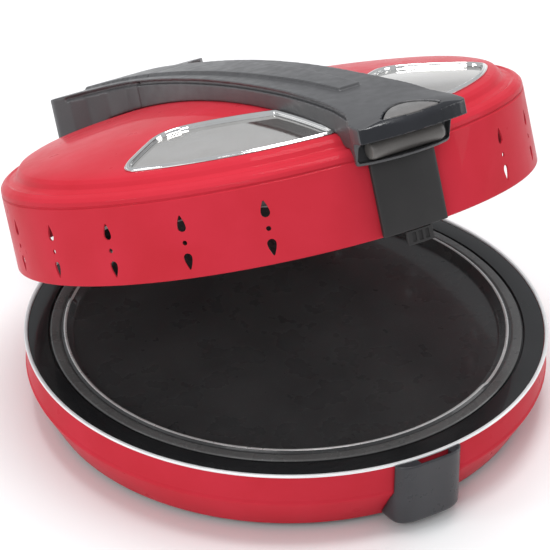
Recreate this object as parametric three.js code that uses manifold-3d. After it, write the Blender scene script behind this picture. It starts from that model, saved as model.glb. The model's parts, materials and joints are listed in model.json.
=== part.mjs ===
// Countertop pizza oven: a round base with a lift-out pan, and a domed lid on a rear hinge.
// Millimetres, +Z up, front towards -Y. The origin is the middle of the footprint, on the worktop.
import * as THREE from "three";
import { mergeVertices } from "three/addons/utils/BufferGeometryUtils.js";
import Module from "manifold-3d";

const wasm = await Module();
wasm.setup();

// ---------- driving dimensions ----------
const GAP = 0.3; // clearance between pieces that touch
const SHEET = 1.2; // pressed steel thickness
const ROUND = 40; // sides of the large turned pieces
const AXIS_BACK = 30; // the round body's axis stands this far in front of the origin

const BASE_R = 180; // outer radius of the base wall
const BASE_BOTTOM_R = 166.5; // radius at the foot of the bevelled lower wall
const BASE_BOTTOM_Z = 5;
const BEVEL_Z = 30; // height of the crease between the wall and its bevel
const RIM_Z = 53; // top of the trim ring
const WALL = 2; // base wall thickness
const FLANGE_R = 126; // inner radius of the base's inward bottom flange
const FLANGE_Z = 7.3;
const FOOT_RADIUS = 138; // distance of the feet from the axis

const DECK_Z = 51.9; // black deck ring round the pan
const DECK_OUTER_R = 175.3;
const LEDGE_Z = 50.5; // step that carries the pan
const WELL_R = 156;
const WELL_FLOOR_Z = 25.2;
const PAN_R = 162.3;
const PAN_BEAD_R = 152;
const PAN_FLOOR_Z = 47;
const PAN_SHEET = 1.6;
const PAN_LIP_TURN = 39; // degrees from the front to the middle of the thumb lip
const PAN_LIP_WIDTH = 20; // degrees

const LID_R = 179;
const LID_EDGE_Z = 54.1; // lower edge of the closed lid
const DOME_TOP = 83; // above the lid's edge
const DOME_R = 160;
const DOME_RISE = 15 / 158 ** 2; // fall of the dome per square millimetre of radius
const LID_OPEN_DEG = 23.7;
const HINGE_Y = 200;
const HINGE_Z = 63.5;

const VENT_PITCH = 17.3; // degrees between vent groups
const VENT_FIRST = 29.6; // degrees from the front
const VENTS_PER_SIDE = 7;

const ARCH_TOP = 98; // crest of the handle above the lid's edge
const ARCH_CREST_Y = 20;
const ARCH_FALL = 0.000375; // fall of the handle's top per square millimetre from its crest
const NOSE_Y = -209.5; // foremost point of the handle, on the lid's own axes
const FASCIA_LOW = 65.3; // lower edge of the handle's front face
const HANDLE_LOW = 49.3; // lowest edge of the handle
const HANDLE_REAR_Y = 120; // joint between the handle and its rear cover

const ELEMENT_TUBE_R = 3.3;
const LOWER_ELEMENT_R = 112;
const LOWER_ELEMENT_Z = 38;
const UPPER_ELEMENT_R = 118;
const UPPER_ELEMENT_Z = 50;

// ---------- materials ----------
const finish = (color, roughness, metalness) =>
  new THREE.MeshStandardMaterial({ color, roughness, metalness });
const RED = finish(0xc01f33, 0.25, 0.3);
const SILVER = finish(0xd9dadb, 0.25, 1);
const CHROME = finish(0xe8e8e8, 0.08, 1);
const BLACK = finish(0x2b2b2d, 0.5, 0);
const ENAMEL = finish(0x0c0c0d, 0.2, 0.1);
const NON_STICK = finish(0x1a1a1c, 0.35, 0.2);
const REFLECTOR = finish(0xb9bbbd, 0.3, 1);
const ELEMENT = finish(0x5d6163, 0.45, 0.9);
const STEEL = finish(0x9a9c9e, 0.35, 1);
const RUBBER = finish(0x161616, 0.9, 0);
const CERAMIC = finish(0xe7e1d3, 0.6, 0);
const SLEEVE = finish(0xd8cfa8, 0.8, 0);
const clear = (color, roughness, opacity) =>
  new THREE.MeshStandardMaterial({ color, roughness, transparent: true, opacity });
const GLASS = clear(0xb9b4ac, 0.05, 0.4);
const LENS = clear(0x6f7072, 0.2, 0.8);

// ---------- shape helpers: each gives a manifold solid ----------
function solidOf(geometry) {
  const bare = geometry.clone();
  bare.deleteAttribute("normal");
  bare.deleteAttribute("uv");
  const merged = mergeVertices(bare, 1e-4);
  const vertProperties = merged.attributes.position.array;
  const triVerts = new Uint32Array(merged.index.array);
  return new wasm.Manifold(new wasm.Mesh({ numProp: 3, vertProperties, triVerts }));
}

const radians = (degrees) => (degrees * Math.PI) / 180;
const points = (pairs) => pairs.map(([a, b]) => new THREE.Vector2(a, b));
const extruded = (shape, depth, curveSegments) =>
  new THREE.ExtrudeGeometry(shape, { depth, bevelEnabled: false, curveSegments });

// A closed profile of [radius, height] turned about Z.
function turned(profile, sides = ROUND) {
  const line = points(profile);
  if (THREE.ShapeUtils.area(line) < 0) line.reverse();
  if (line[0].x > 0 || line.at(-1).x > 0) line.push(line[0].clone());
  return solidOf(new THREE.LatheGeometry(line, sides).rotateX(Math.PI / 2));
}

// A plan outline of [x, y] raised from one height to another.
function prism(outline, low, high) {
  const shape = new THREE.Shape(points(outline));
  const geometry = new THREE.ExtrudeGeometry(shape, { depth: high - low, bevelEnabled: false });
  return solidOf(geometry.translate(0, 0, low));
}

// A side outline of [y, z] carried from one x to another.
function sideways(outline, left, right) {
  const shape = new THREE.Shape(points(outline));
  const geometry = new THREE.ExtrudeGeometry(shape, { depth: right - left, bevelEnabled: false });
  const axes = new THREE.Matrix4().makeBasis(
    new THREE.Vector3(0, 1, 0),
    new THREE.Vector3(0, 0, 1),
    new THREE.Vector3(1, 0, 0),
  );
  return solidOf(geometry.applyMatrix4(axes).translate(left, 0, 0));
}

function block([x0, x1], [y0, y1], [z0, z1]) {
  const geometry = new THREE.BoxGeometry(x1 - x0, y1 - y0, z1 - z0);
  return solidOf(geometry.translate((x0 + x1) / 2, (y0 + y1) / 2, (z0 + z1) / 2));
}

// An upright rod at [x, y].
function post([x, y], radius, low, high, sides = 10) {
  const geometry = new THREE.CylinderGeometry(radius, radius, high - low, sides).rotateX(Math.PI / 2);
  return solidOf(geometry.translate(x, y, (low + high) / 2));
}

// A rod along X at [y, z].
function axle([y, z], radius, left, right, sides = 12) {
  const geometry = new THREE.CylinderGeometry(radius, radius, right - left, sides).rotateZ(Math.PI / 2);
  return solidOf(geometry.translate((left + right) / 2, y, z));
}

// A rod along Y at [x, z].
function spindle([x, z], radius, front, rear, sides = 12) {
  const geometry = new THREE.CylinderGeometry(radius, radius, rear - front, sides);
  return solidOf(geometry.translate(x, (front + rear) / 2, z));
}

function tube(path, radius, steps, sides = 6) {
  const round = new THREE.Shape().absarc(0, 0, radius, 0, 2 * Math.PI);
  const section = new THREE.Shape(round.getPoints(sides).slice(0, sides));
  const curve = new THREE.CatmullRomCurve3(path.map((p) => new THREE.Vector3(...p)));
  const options = { steps, extrudePath: curve, bevelEnabled: false };
  return solidOf(new THREE.ExtrudeGeometry(section, options));
}

// The same solid's geometry turned about Z, for what repeats round the axis.
function spun(geometry, degrees) {
  return solidOf(geometry.clone().rotateZ(radians(degrees)));
}

const allOf = (solids) => solids.reduce((sum, next) => sum.add(next));
const without = (solid, cutters) => cutters.reduce((rest, cutter) => rest.subtract(cutter), solid);
const mirrored = (outline) => outline.map(([x, y]) => [-x, y]).reverse();

// An outline moved outwards by a distance, or inwards by a negative one.
function offset(outline, distance) {
  const turn = Math.sign(THREE.ShapeUtils.area(points(outline)));
  return outline.map(([x, y], i) => {
    const [px, py] = outline.at(i - 1);
    const [nx, ny] = outline[(i + 1) % outline.length];
    const before = new THREE.Vector2(y - py, px - x).normalize();
    const after = new THREE.Vector2(ny - y, x - nx).normalize();
    const middle = before.clone().add(after).normalize();
    const reach = (turn * distance) / Math.max(0.5, middle.dot(before));
    return [x + middle.x * reach, y + middle.y * reach];
  });
}

function geometryOf(solid) {
  const { vertProperties, triVerts } = solid.getMesh();
  const geometry = new THREE.BufferGeometry();
  geometry.setAttribute("position", new THREE.BufferAttribute(new Float32Array(vertProperties), 3));
  geometry.setIndex(new THREE.BufferAttribute(new Uint32Array(triVerts), 1));
  geometry.computeVertexNormals();
  return geometry;
}

function place(group, name, solid, material) {
  const mesh = new THREE.Mesh(geometryOf(solid), material);
  mesh.name = name;
  group.add(mesh);
}

// ---------- groups ----------
const root = new THREE.Group();
const oven = new THREE.Group();
oven.position.y = -AXIS_BACK;
root.add(oven);
const lidSwing = new THREE.Group();
lidSwing.position.set(0, HINGE_Y, HINGE_Z);
lidSwing.rotation.x = -radians(LID_OPEN_DEG);
oven.add(lidSwing);
const lid = new THREE.Group(); // its own z = 0 is the lid's lower edge
lid.position.set(0, -HINGE_Y, LID_EDGE_Z - HINGE_Z);
lidSwing.add(lid);
const LID_HINGE_Z = HINGE_Z - LID_EDGE_Z; // the hinge axis in the lid's heights

// ---------- base shell, bottom cover, feet ----------
const BEVEL_SLOPE = (BASE_R - BASE_BOTTOM_R) / (BEVEL_Z - BASE_BOTTOM_Z);
const bevelAt = (z) => BASE_BOTTOM_R + (z - BASE_BOTTOM_Z) * BEVEL_SLOPE;
const bevelInside = (z) => bevelAt(z) - 1.15 * WALL;
const SHELL_TOP_Z = DECK_Z - SHEET - GAP;
const footPlaces = [
  ["front_left", -135],
  ["front_right", -45],
  ["rear_left", 135],
  ["rear_right", 45],
].map(([name, angle]) => [
  name,
  [FOOT_RADIUS * Math.cos(radians(angle)), FOOT_RADIUS * Math.sin(radians(angle))],
]);

// The space that the base takes up, grown by a clearance, to cut what is fastened to it.
const baseSpace = (grow) =>
  turned([
    [0, BASE_BOTTOM_Z - 10],
    [bevelAt(BASE_BOTTOM_Z - 10) + grow, BASE_BOTTOM_Z - 10],
    [BASE_R + grow, BEVEL_Z],
    [BASE_R + grow + 0.3, RIM_Z + 5],
    [0, RIM_Z + 5],
  ]);

function baseShell() {
  const flangeTop = FLANGE_Z + WALL;
  const shell = turned([
    [BASE_BOTTOM_R, BASE_BOTTOM_Z],
    [BASE_R, BEVEL_Z],
    [BASE_R, SHELL_TOP_Z],
    [170, SHELL_TOP_Z],
    [170, SHELL_TOP_Z - 1.5],
    [BASE_R - WALL, SHELL_TOP_Z - 1.5],
    [BASE_R - WALL, BEVEL_Z + 0.5],
    [bevelInside(flangeTop), flangeTop],
    [FLANGE_R, flangeTop],
    [FLANGE_R, FLANGE_Z],
    [bevelInside(FLANGE_Z), FLANGE_Z],
    [bevelInside(BASE_BOTTOM_Z), BASE_BOTTOM_Z],
  ]);
  const screwHoles = footPlaces.map(([, at]) => post(at, 2.3, 0, 20));
  const leadHole = spindle([0, 32], 6, 160, 190, 16);
  return without(shell, [...screwHoles, leadHole]);
}

function bottomCover() {
  const disc = turned([
    [0, BASE_BOTTOM_Z],
    [163.4, BASE_BOTTOM_Z],
    [163.4, FLANGE_Z - GAP],
    [0, FLANGE_Z - GAP],
  ]);
  const slotShape = new THREE.Shape();
  slotShape.absarc(92, 0, 3, -Math.PI / 2, Math.PI / 2);
  slotShape.absarc(60, 0, 3, Math.PI / 2, 1.5 * Math.PI);
  const slot = extruded(slotShape, 10, 2);
  const slots = Array.from({ length: 8 }, (_, i) => spun(slot, 45 * i));
  return without(disc, [...slots, ...footPlaces.map(([, at]) => post(at, 2.3, 0, 20))]);
}

const foot = (at) => {
  const body = post(at, 10, 0, BASE_BOTTOM_Z - GAP, 14);
  return without(body, [post(at, 2.3, -1, 10), post(at, 4.8, -1, 2.6)]);
};
const footScrew = (at) => post(at, 4.2, 0.6, 2.3).add(post(at, 2, 1, 13, 8));

function trimRing() {
  return turned([
    [175.7, SHELL_TOP_Z + GAP],
    [180.3, SHELL_TOP_Z + GAP],
    [180.3, RIM_Z - 0.9],
    [179.4, RIM_Z],
    [176.5, RIM_Z],
    [175.7, RIM_Z - 0.8],
  ]);
}

// ---------- heating well ----------
const terminalSides = [
  ["left", -1],
  ["right", 1],
];
const TERMINAL_X = 12;
const lowerTerminal = (side) => [side * TERMINAL_X, Math.sqrt(LOWER_ELEMENT_R ** 2 - TERMINAL_X ** 2)];
const upperTerminal = (side) => [side * TERMINAL_X, Math.sqrt(UPPER_ELEMENT_R ** 2 - TERMINAL_X ** 2)];
const THERMOSTAT_AT = [55, -40];
const BUSH_R = 5.6;

function heaterWell() {
  const well = turned([
    [DECK_OUTER_R, DECK_Z - SHEET],
    [DECK_OUTER_R, DECK_Z],
    [163.9, DECK_Z],
    [163.3, LEDGE_Z],
    [WELL_R, LEDGE_Z],
    [WELL_R - 1.5, WELL_FLOOR_Z + 2.3],
    [WELL_R - 6, WELL_FLOOR_Z],
    [0, WELL_FLOOR_Z],
    [0, WELL_FLOOR_Z - SHEET],
    [WELL_R - 5.4, WELL_FLOOR_Z - SHEET],
    [WELL_R - 0.3, WELL_FLOOR_Z + 1.7],
    [WELL_R + 1.2, LEDGE_Z - SHEET],
    [164.5, LEDGE_Z - SHEET],
    [165.1, DECK_Z - SHEET],
  ]);
  const bushHoles = terminalSides.map(([, side]) => post(lowerTerminal(side), BUSH_R + GAP, 10, 40));
  return without(well, bushHoles);
}

function lowerReflector() {
  const low = WELL_FLOOR_Z + GAP;
  const dish = turned([
    [0, low],
    [139, low],
    [151, low + 7.5],
    [150.3, low + 8.1],
    [138.6, low + 0.8],
    [0, low + 0.8],
  ]);
  const bushHoles = terminalSides.map(([, side]) => post(lowerTerminal(side), BUSH_R + GAP, 10, 40));
  return without(dish, bushHoles);
}

// A ring-shaped heating tube whose two ends turn off at the rear to another height.
function elementTube(radius, height, endHeight) {
  const step = Math.sign(endHeight - height);
  const endAngle = Math.asin(TERMINAL_X / radius);
  const path = [];
  const [x, y] = [TERMINAL_X, radius * Math.cos(endAngle)];
  const straight = [endHeight, (endHeight + height + step * 11) / 2, height + step * 11, height + step * 7];
  path.push(...straight.map((z) => [-x, y, z]));
  const from = Math.PI / 2 + endAngle * 2;
  const turns = 20;
  for (let i = 0; i <= turns; i++) {
    const angle = from + (i * (2 * Math.PI - endAngle * 4)) / turns;
    path.push([radius * Math.cos(angle), radius * Math.sin(angle), height]);
  }
  path.push(...straight.toReversed().map((z) => [x, y, z]));
  return tube(path, ELEMENT_TUBE_R, 56);
}

function bush([x, y], low, high, collar) {
  const ring = post([x, y], BUSH_R, low, high).add(post([x, y], BUSH_R + 2.4, ...collar));
  return ring.subtract(post([x, y], ELEMENT_TUBE_R + 2 * GAP, low - 5, high + 5));
}

// A radial plate that holds the heating tube; it stands on one height and passes the tube at another.
function elementClip(radius, tubeHeight, low, high, degrees) {
  const plate = new THREE.BoxGeometry(15, 2, high - low).translate(radius, 0, (low + high) / 2);
  const hole = new THREE.CylinderGeometry(ELEMENT_TUBE_R + 0.6, ELEMENT_TUBE_R + 0.6, 12, 8);
  return spun(plate, degrees).subtract(spun(hole.translate(radius, 0, tubeHeight), degrees));
}
const clipPlaces = [
  ["front", -90],
  ["left", 160],
  ["right", 20],
];

function thermostat() {
  const top = WELL_FLOOR_Z - SHEET - GAP;
  const [x, y] = THERMOSTAT_AT;
  const tabs = [x - 5, x + 5].map((at) => block([at - 0.4, at + 0.4], [y - 3, y + 3], [top - 15, top - 8]));
  return allOf([post([x, y], 9, top - 9, top), post([x, y], 12, top - 2, top), ...tabs]);
}

function junctionBlock() {
  const body = block([34, 62], [84, 100], [FLANGE_Z, FLANGE_Z + 11]);
  const wells = [41, 55].map((x) => post([x, 92], 3, FLANGE_Z + 3, 40));
  return without(body, wells);
}

const baseLeads = () =>
  tube(
    [
      [0, 116, 13],
      [0, 138, 13.5],
      [0, 155, 17],
      [0, 166, 25],
      [0, 175, 31],
      [0, 184, 32],
      [0, 196, 31],
    ],
    2.6,
    16,
  );

// ---------- pan ----------
function pizzaPan() {
  const rimTop = DECK_Z + 0.5;
  const under = LEDGE_Z + GAP;
  const pan = turned([
    [0, PAN_FLOOR_Z],
    [147, PAN_FLOOR_Z],
    [PAN_BEAD_R - 1.2, rimTop + 1],
    [PAN_BEAD_R, rimTop + 1.6],
    [PAN_BEAD_R + 1.2, rimTop + 1],
    [PAN_BEAD_R + 2.5, rimTop - 0.6],
    [156, rimTop],
    [PAN_R - 0.8, rimTop],
    [PAN_R, rimTop - 0.8],
    [PAN_R, under],
    [PAN_BEAD_R, under],
    [148.3, PAN_FLOOR_Z - PAN_SHEET],
    [0, PAN_FLOOR_Z - PAN_SHEET],
  ]);
  const lipShape = new THREE.Shape();
  const half = radians(PAN_LIP_WIDTH / 2);
  lipShape.absarc(0, 0, PAN_BEAD_R + 3.4, -half, half, false);
  lipShape.absarc(0, 0, PAN_BEAD_R - 2.2, half, -half, true);
  const cutter = extruded(lipShape, 10, 6).translate(0, 0, rimTop - 0.6);
  const lips = [PAN_LIP_TURN - 90, PAN_LIP_TURN + 90].map((angle) => spun(cutter, angle));
  return without(pan, lips);
}

// ---------- front bracket ----------
const BRACKET = {
  x: -3,
  half: 26.5,
  front: -186.8,
  middle: -165, // where the sides start to round towards the front
  back: -150,
  power: 4, // squareness of the rounding
  low: 6,
  top: RIM_Z - 1,
};
const POCKET = { left: -12, right: 12, floor: 41, inner: BASE_R + 0.1, outer: 185 };

// A wall-hugging slab between two radii and two angles from the front, over a range of heights.
function wallSlab(inner, outer, leftX, rightX, low, high) {
  const start = -Math.PI / 2 + Math.asin(leftX / outer);
  const end = -Math.PI / 2 + Math.asin(rightX / outer);
  const shape = new THREE.Shape();
  shape.absarc(0, 0, outer, start, end, false);
  shape.absarc(0, 0, inner, end, start, true);
  return solidOf(extruded(shape, high - low, 8).translate(0, 0, low));
}

// A barrel-fronted block against the base wall, its plan a squared-off half ellipse.
function frontBracket() {
  const { x, half, front, middle, back, power, low, top } = BRACKET;
  const stations = 18;
  const plan = [];
  for (let i = 0; i <= stations; i++) {
    const angle = (Math.PI * i) / stations;
    const across = Math.abs(Math.cos(angle)) ** (2 / power);
    const along = Math.sin(angle) ** (2 / power);
    plan.push([x - Math.sign(Math.cos(angle)) * half * across, middle + (front - middle) * along]);
  }
  plan.push([x + half, back], [x - half, back]);
  const body = wasm.Manifold.hull([
    prism(offset(plan, -2.2), low, top - 2),
    prism(plan, low + 2.5, top - 1),
    prism(offset(plan, -0.8), low + 3, top),
  ]);
  const pocket = wallSlab(POCKET.inner, POCKET.outer, POCKET.left, POCKET.right, POCKET.floor, RIM_Z + 2);
  return without(body, [baseSpace(GAP), pocket]);
}

// ---------- base hinge housing ----------
const HOUSING = { half: 60, rear: 228, top: 40, ear: 12, earR: 10 };
const PIN_R = 3;
const GLAND_AT = [36, 19];
const GLAND_R = 7.5;

function hingeHousing() {
  const { half, rear, top, ear, earR } = HOUSING;
  const plan = [
    [-half, 150],
    [half, 150],
    [half, rear - 9],
    [half - 3, rear - 3],
    [half - 9, rear],
    [9 - half, rear],
    [3 - half, rear - 3],
    [-half, rear - 9],
  ];
  const side = [
    [150, 6],
    [rear - 3, 6],
    [rear, 9],
    [rear, top - 8],
    [rear - 2, top - 3],
    [rear - 8, top],
    [150, top],
  ];
  const casing = prism(plan, 0, top).intersect(sideways(side, -half, half));
  const hollow = prism(offset(plan, -3), 9, top - 3).intersect(sideways(offset(side, -3), -half, half));
  const backless = hollow.add(block([3 - half, half - 3], [150, 190], [9, top - 3]));
  const earSide = [
    [184, 30],
    [HINGE_Y + earR, 30],
    [HINGE_Y + earR, HINGE_Z],
    ...Array.from({ length: 9 }, (_, i) => {
      const angle = (Math.PI * (i + 1)) / 10;
      return [HINGE_Y + earR * Math.cos(angle), HINGE_Z + earR * Math.sin(angle)];
    }),
    [HINGE_Y - earR, HINGE_Z],
    [184, HINGE_Z - 8],
  ];
  const ears = [sideways(earSide, -half, ear - half), sideways(earSide, half - ear, half)];
  const gland = spindle(GLAND_AT, GLAND_R + GAP, rear - 8, rear + 5);
  const pinHole = axle([HINGE_Y, HINGE_Z], PIN_R + GAP, 2 - half, half - 2);
  return without(allOf([casing.subtract(backless), ...ears]), [baseSpace(GAP), gland, pinHole]);
}

const hingePin = () => axle([HINGE_Y, HINGE_Z], PIN_R, 2.5 - HOUSING.half, HOUSING.half - 2.5);

function cordGland() {
  const { rear } = HOUSING;
  const sleeve = spindle(GLAND_AT, GLAND_R, rear - 7, rear + 1);
  const flange = spindle(GLAND_AT, GLAND_R + 2, rear + GAP, rear + 2.5);
  return sleeve.add(flange).subtract(spindle(GLAND_AT, 4, rear - 10, rear + 5));
}

// ---------- lid ----------
const domeAt = (r) => DOME_TOP - DOME_RISE * r * r;
const domeRadii = [0, 60, 105, 136, DOME_R];

// The lid's outer profile from its lower edge, over the rolled crown, to the top of the dome.
const lidProfile = [
  [LID_R - 0.8, 0],
  [LID_R, 0.9],
  [LID_R, 53.5],
  [177, 58.2],
  [173.7, 59.6],
  [169.5, 59.6],
  [166, 62.6],
  [163.2, 66.4],
  ...domeRadii.toReversed().map((r) => [r, domeAt(r)]),
];

// The same profile one sheet thickness further in.
const lidInside = [
  ...domeRadii.map((r) => [r, domeAt(r) - SHEET]),
  [162, 65],
  [164.8, 61.5],
  [169, 58.3],
  [173.2, 58.2],
  [176, 57],
  [LID_R - SHEET, 53],
  [LID_R - SHEET, 0.9],
  [LID_R - 0.8 - SHEET, 0],
];

// The space that the lid takes up, grown by a clearance, to cut what is fastened to it.
function lidSpace(grow) {
  const grown = lidProfile.slice(2).map(([r, z]) => [r + (z < 60 ? grow : 0), z + grow]);
  return turned([[0, -12], [LID_R + grow, -12], ...grown]);
}

// A layer of the dome between two offsets from its outer face.
function domeLayer(top, bottom) {
  const under = domeRadii.map((r) => [r, domeAt(r) + bottom]);
  const over = domeRadii.toReversed().map((r) => [r, domeAt(r) + top]);
  return turned([...under, ...over]);
}

// The right-hand window's outline: straight along the handle, round outside, slanting at the rear.
function windowOutline() {
  const outer = 155;
  const side = 29;
  const tipAngle = radians(-30.3);
  const shape = new THREE.Shape();
  shape.moveTo(side, -82);
  shape.lineTo(side, -Math.sqrt(outer ** 2 - side ** 2));
  shape.absarc(0, 0, outer, -Math.acos(side / outer), tipAngle, false);
  shape.quadraticCurveTo(136, -69, 122, -59.5);
  shape.lineTo(100, -42.5);
  shape.quadraticCurveTo(87, -32, 73, -43);
  const outline = shape.getPoints(5).map(({ x, y }) => [x, y]);
  const step = (i) => Math.hypot(outline[i][0] - outline[i - 1][0], outline[i][1] - outline[i - 1][1]);
  return outline.filter((_, i) => i === 0 || step(i) > 0.5);
}
const rightWindow = windowOutline();
const BEZEL_LIP = 1.2; // reach of the bezel inside the window's outline
const windows = [
  ["left", mirrored(rightWindow)],
  ["right", rightWindow],
];

// Each vent group is a leaf-shaped slot, a dot, and the same slot upside down.
function ventCutters() {
  const leafR = 2.9;
  const tip = 7.8;
  const leaf = new THREE.Shape();
  leaf.absarc(0, 0, leafR, Math.PI, 2 * Math.PI, false);
  leaf.quadraticCurveTo(2.5, 4.6, 0.5, tip);
  leaf.lineTo(-0.5, tip);
  leaf.quadraticCurveTo(-2.5, 4.6, -leafR, 0);
  const dot = new THREE.Shape().absarc(0, 0, 1.6, 0, 2 * Math.PI);
  const through = (shape, segments) => extruded(shape, 20, segments).translate(0, 0, -10);
  const pieces = [
    through(leaf, 2).translate(0, 33.2, 0),
    through(dot, 3).translate(0, 23.2, 0),
    through(leaf, 2).rotateZ(Math.PI).translate(0, 13.6, 0),
  ].map((geometry) => geometry.rotateX(Math.PI / 2).translate(0, -LID_R, 0));
  const turns = Array.from({ length: VENTS_PER_SIDE }, (_, i) => VENT_FIRST + VENT_PITCH * i);
  const angles = [...turns, ...turns.map((angle) => -angle)];
  return angles.flatMap((angle) => pieces.map((piece) => spun(piece, angle)));
}

const handleScrews = [
  [0, -128],
  [0, -20],
  [0, 86],
];
const coverScrews = [
  [-18, 148],
  [18, 148],
];

function lidShell() {
  const shell = turned([...lidProfile, ...lidInside]);
  const openings = windows.map(([, outline]) => prism(outline, 55, 95));
  const holes = [...handleScrews, ...coverScrews].map((at) => post(at, 2.3, 50, 95, 12));
  const leadHole = spindle([0, 38], 5, 160, 190, 16);
  return without(shell, [...openings, ...ventCutters(), ...holes, leadHole]);
}

// Shallow reflector under the dome, with a flange that reaches the lid's wall above the vents.
const linerProfile = [
  [176.6, 46.5],
  [171, 46.5],
  [156, 57],
  [100, 66],
  [0, 70.5],
];

function lidLiner() {
  const upper = linerProfile.toReversed().map(([r, z]) => [r, z + 0.8]);
  const openings = windows.map(([, outline]) => prism(offset(outline, -4), 40, 90));
  const bushes = terminalSides.map(([, side]) => post(upperTerminal(side), BUSH_R + GAP, 40, 90));
  const leadNotch = block([-3.5, 3.5], [171.5, 180], [40, 60]);
  return without(turned([...linerProfile, ...upper]), [...openings, ...bushes, leadNotch]);
}

function windowBezel(outline) {
  const rim = prism(offset(outline, 3), 50, 95).intersect(domeLayer(2, GAP));
  const skirt = prism(offset(outline, -GAP), 50, 95).intersect(domeLayer(2, -4.2));
  const besideHandle = prism(offset(handlePlan(), GAP), 40, 99);
  return without(rim.add(skirt), [prism(offset(outline, -BEZEL_LIP), 40, 99), besideHandle]);
}
const windowPane = (outline) => prism(offset(outline, -BEZEL_LIP - GAP), 50, 95).intersect(domeLayer(-1, -4));
function windowRetainer(outline) {
  const ring = prism(offset(outline, -GAP), 40, 95).intersect(domeLayer(-4.5, -6));
  return ring.subtract(prism(offset(outline, -5.8), 30, 99));
}

// ---------- handle ----------
const archAt = (y) => ARCH_TOP - ARCH_FALL * (y - ARCH_CREST_Y) ** 2;

// The handle's plan: a long bar that flares into the front nose, and into the rear cover.
function handlePlan() {
  const right = [
    [26, HANDLE_REAR_Y - GAP / 2],
    [26, -95],
    [27.5, -135],
    [29.5, -160],
    [31.5, -177],
    [35.5, -186],
    [38.5, -190.5],
    [39.5, -197],
    [39.5, -203.5],
    [27, -206.8],
    [13.5, -208.8],
  ];
  return [...right, [0, NOSE_Y], ...mirrored(right)];
}

// The handle's side view, with the nose undercut above the front strap; a drop lowers its top.
function handleSide(drop = 0) {
  const top = [];
  for (let y = HANDLE_REAR_Y; y >= -190; y -= 31) top.push([y, archAt(y) - drop]);
  return [
    ...top,
    [-200, 79.8 - drop],
    [-205, 78.4 - drop],
    [-208, 76 - drop],
    [NOSE_Y + 0.1, 73.8 - drop],
    [NOSE_Y - 0.4, FASCIA_LOW],
    [-205, FASCIA_LOW],
    [-205, HANDLE_LOW],
    [HANDLE_REAR_Y, HANDLE_LOW],
  ];
}

// The indicator window's plan: almost straight in front, bulging behind.
const LENS_SIZE = { half: 20.5, y: -203, frontBulge: 2, rearBulge: 13 };
const lensOutline = () => {
  const { half, y, frontBulge, rearBulge } = LENS_SIZE;
  const steps = 12;
  const outline = [];
  for (let i = 0; i <= steps; i++) {
    outline.push([half * ((2 * i) / steps - 1), y - frontBulge * Math.sin((Math.PI * i) / steps)]);
  }
  for (let i = 1; i < steps; i++) {
    outline.push([half * (1 - (2 * i) / steps), y + rearBulge * Math.sin((Math.PI * i) / steps)]);
  }
  return outline;
};
const LAMP_AT = [0, -197];

const GRIP = { half: 26.8, y: -188.6, z: 57.6, r: 6.2 };
const GRIP_POCKET = { half: 33.7, rear: -183, low: 51.1, high: FASCIA_LOW };

// The space under the front face: the handle narrows there towards its lower lip.
function belowFascia() {
  const upper = [
    [0, -204],
    [20, -201],
    [33, -194],
    [36, -189.5],
    [36, -150],
  ];
  const lower = [
    [0, -196.2],
    [20, -193.3],
    [29, -189],
    [33.5, -184.5],
    [35.5, -181],
    [35.5, -150],
  ];
  const whole = (half) => [...half, ...mirrored(half).slice(0, -1)];
  const kept = wasm.Manifold.hull([
    prism(whole(upper), FASCIA_LOW - 0.1, FASCIA_LOW),
    prism(whole(lower), HANDLE_LOW - 1, HANDLE_LOW),
  ]);
  return block([-60, 60], [NOSE_Y - 5, -175], [HANDLE_LOW - 5, FASCIA_LOW]).subtract(kept);
}

// What the nose's top loses towards its sides, on the right or the left.
function shoulderCutter(side) {
  const line = [
    [30, -150, archAt(-150) + 0.3],
    [23, -190, archAt(-190) + 0.3],
    [23, -212, 77],
    [41, -150, archAt(-150) - 1.2],
    [41, -190, 77.2],
    [41, -212, 73.4],
  ];
  const corners = line.flatMap(([x, y, z]) => [
    [side * x, y, z],
    [side * x, y, 110],
  ]);
  return wasm.Manifold.hull(corners);
}

function handleBody() {
  const plan = handlePlan();
  const full = prism(plan, 40, 110).intersect(sideways(handleSide(), -60, 60));
  const cavity = prism(offset(plan, -3), 40, 110)
    .intersect(sideways(handleSide(3), -60, 60))
    .intersect(block([-60, 60], [-176, HANDLE_REAR_Y - 3], [40, 110]));
  const bosses = allOf(handleScrews.map((at) => post(at, 5, 50, 110)));
  const { half, rear, low, high } = GRIP_POCKET;
  const pocket = block([-half, half], [NOSE_Y - 5, rear], [low, high]);
  const outside = [belowFascia(), shoulderCutter(-1), shoulderCutter(1)];
  const lensSeat = prism(offset(lensOutline(), GAP), 76.3, 99);
  const lampHole = post(LAMP_AT, 4, 66.6, 90);
  const screwHoles = handleScrews.map(([x, y]) => post([x, y], 2.3, 50, archAt(y) - 4));
  const hollows = [cavity.subtract(bosses), pocket, lensSeat, lampHole, lidSpace(GAP)];
  return without(full, [...hollows, ...outside, ...screwHoles]);
}

// A half-round bar, flat behind, that stands on a web in the pocket.
const gripBar = () => {
  const { half, y, z, r } = GRIP;
  const back = GRIP_POCKET.rear - GAP;
  const inFront = block([-half, half], [y - 2 * r, back], [z - r, z + r]);
  const round = axle([y, z], r, -half, half).intersect(inFront);
  return round.add(block([-half, half], [y, back], [z - 4.5, z + 4.5]));
};

const indicatorLens = () => {
  const plate = prism(lensOutline(), 76.6, 99);
  return plate.intersect(sideways(handleSide(0.8), -60, 60));
};
const indicatorLamp = () => post(LAMP_AT, 3.4, 67, 76.2);

const frontStrap = () => wallSlab(LID_R + GAP, 183.2, -23.9, 23.9, 0.6, 48.6);

function locatingTab() {
  const tab = wallSlab(180.8, 183.2, -8.5, 10.5, -8.6, 0.3);
  const cores = [-5.4, -0.6, 4.2].map((x) => block([x, x + 3], [-190, -182.1], [-7, -0.8]));
  return without(tab, cores);
}

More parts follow.
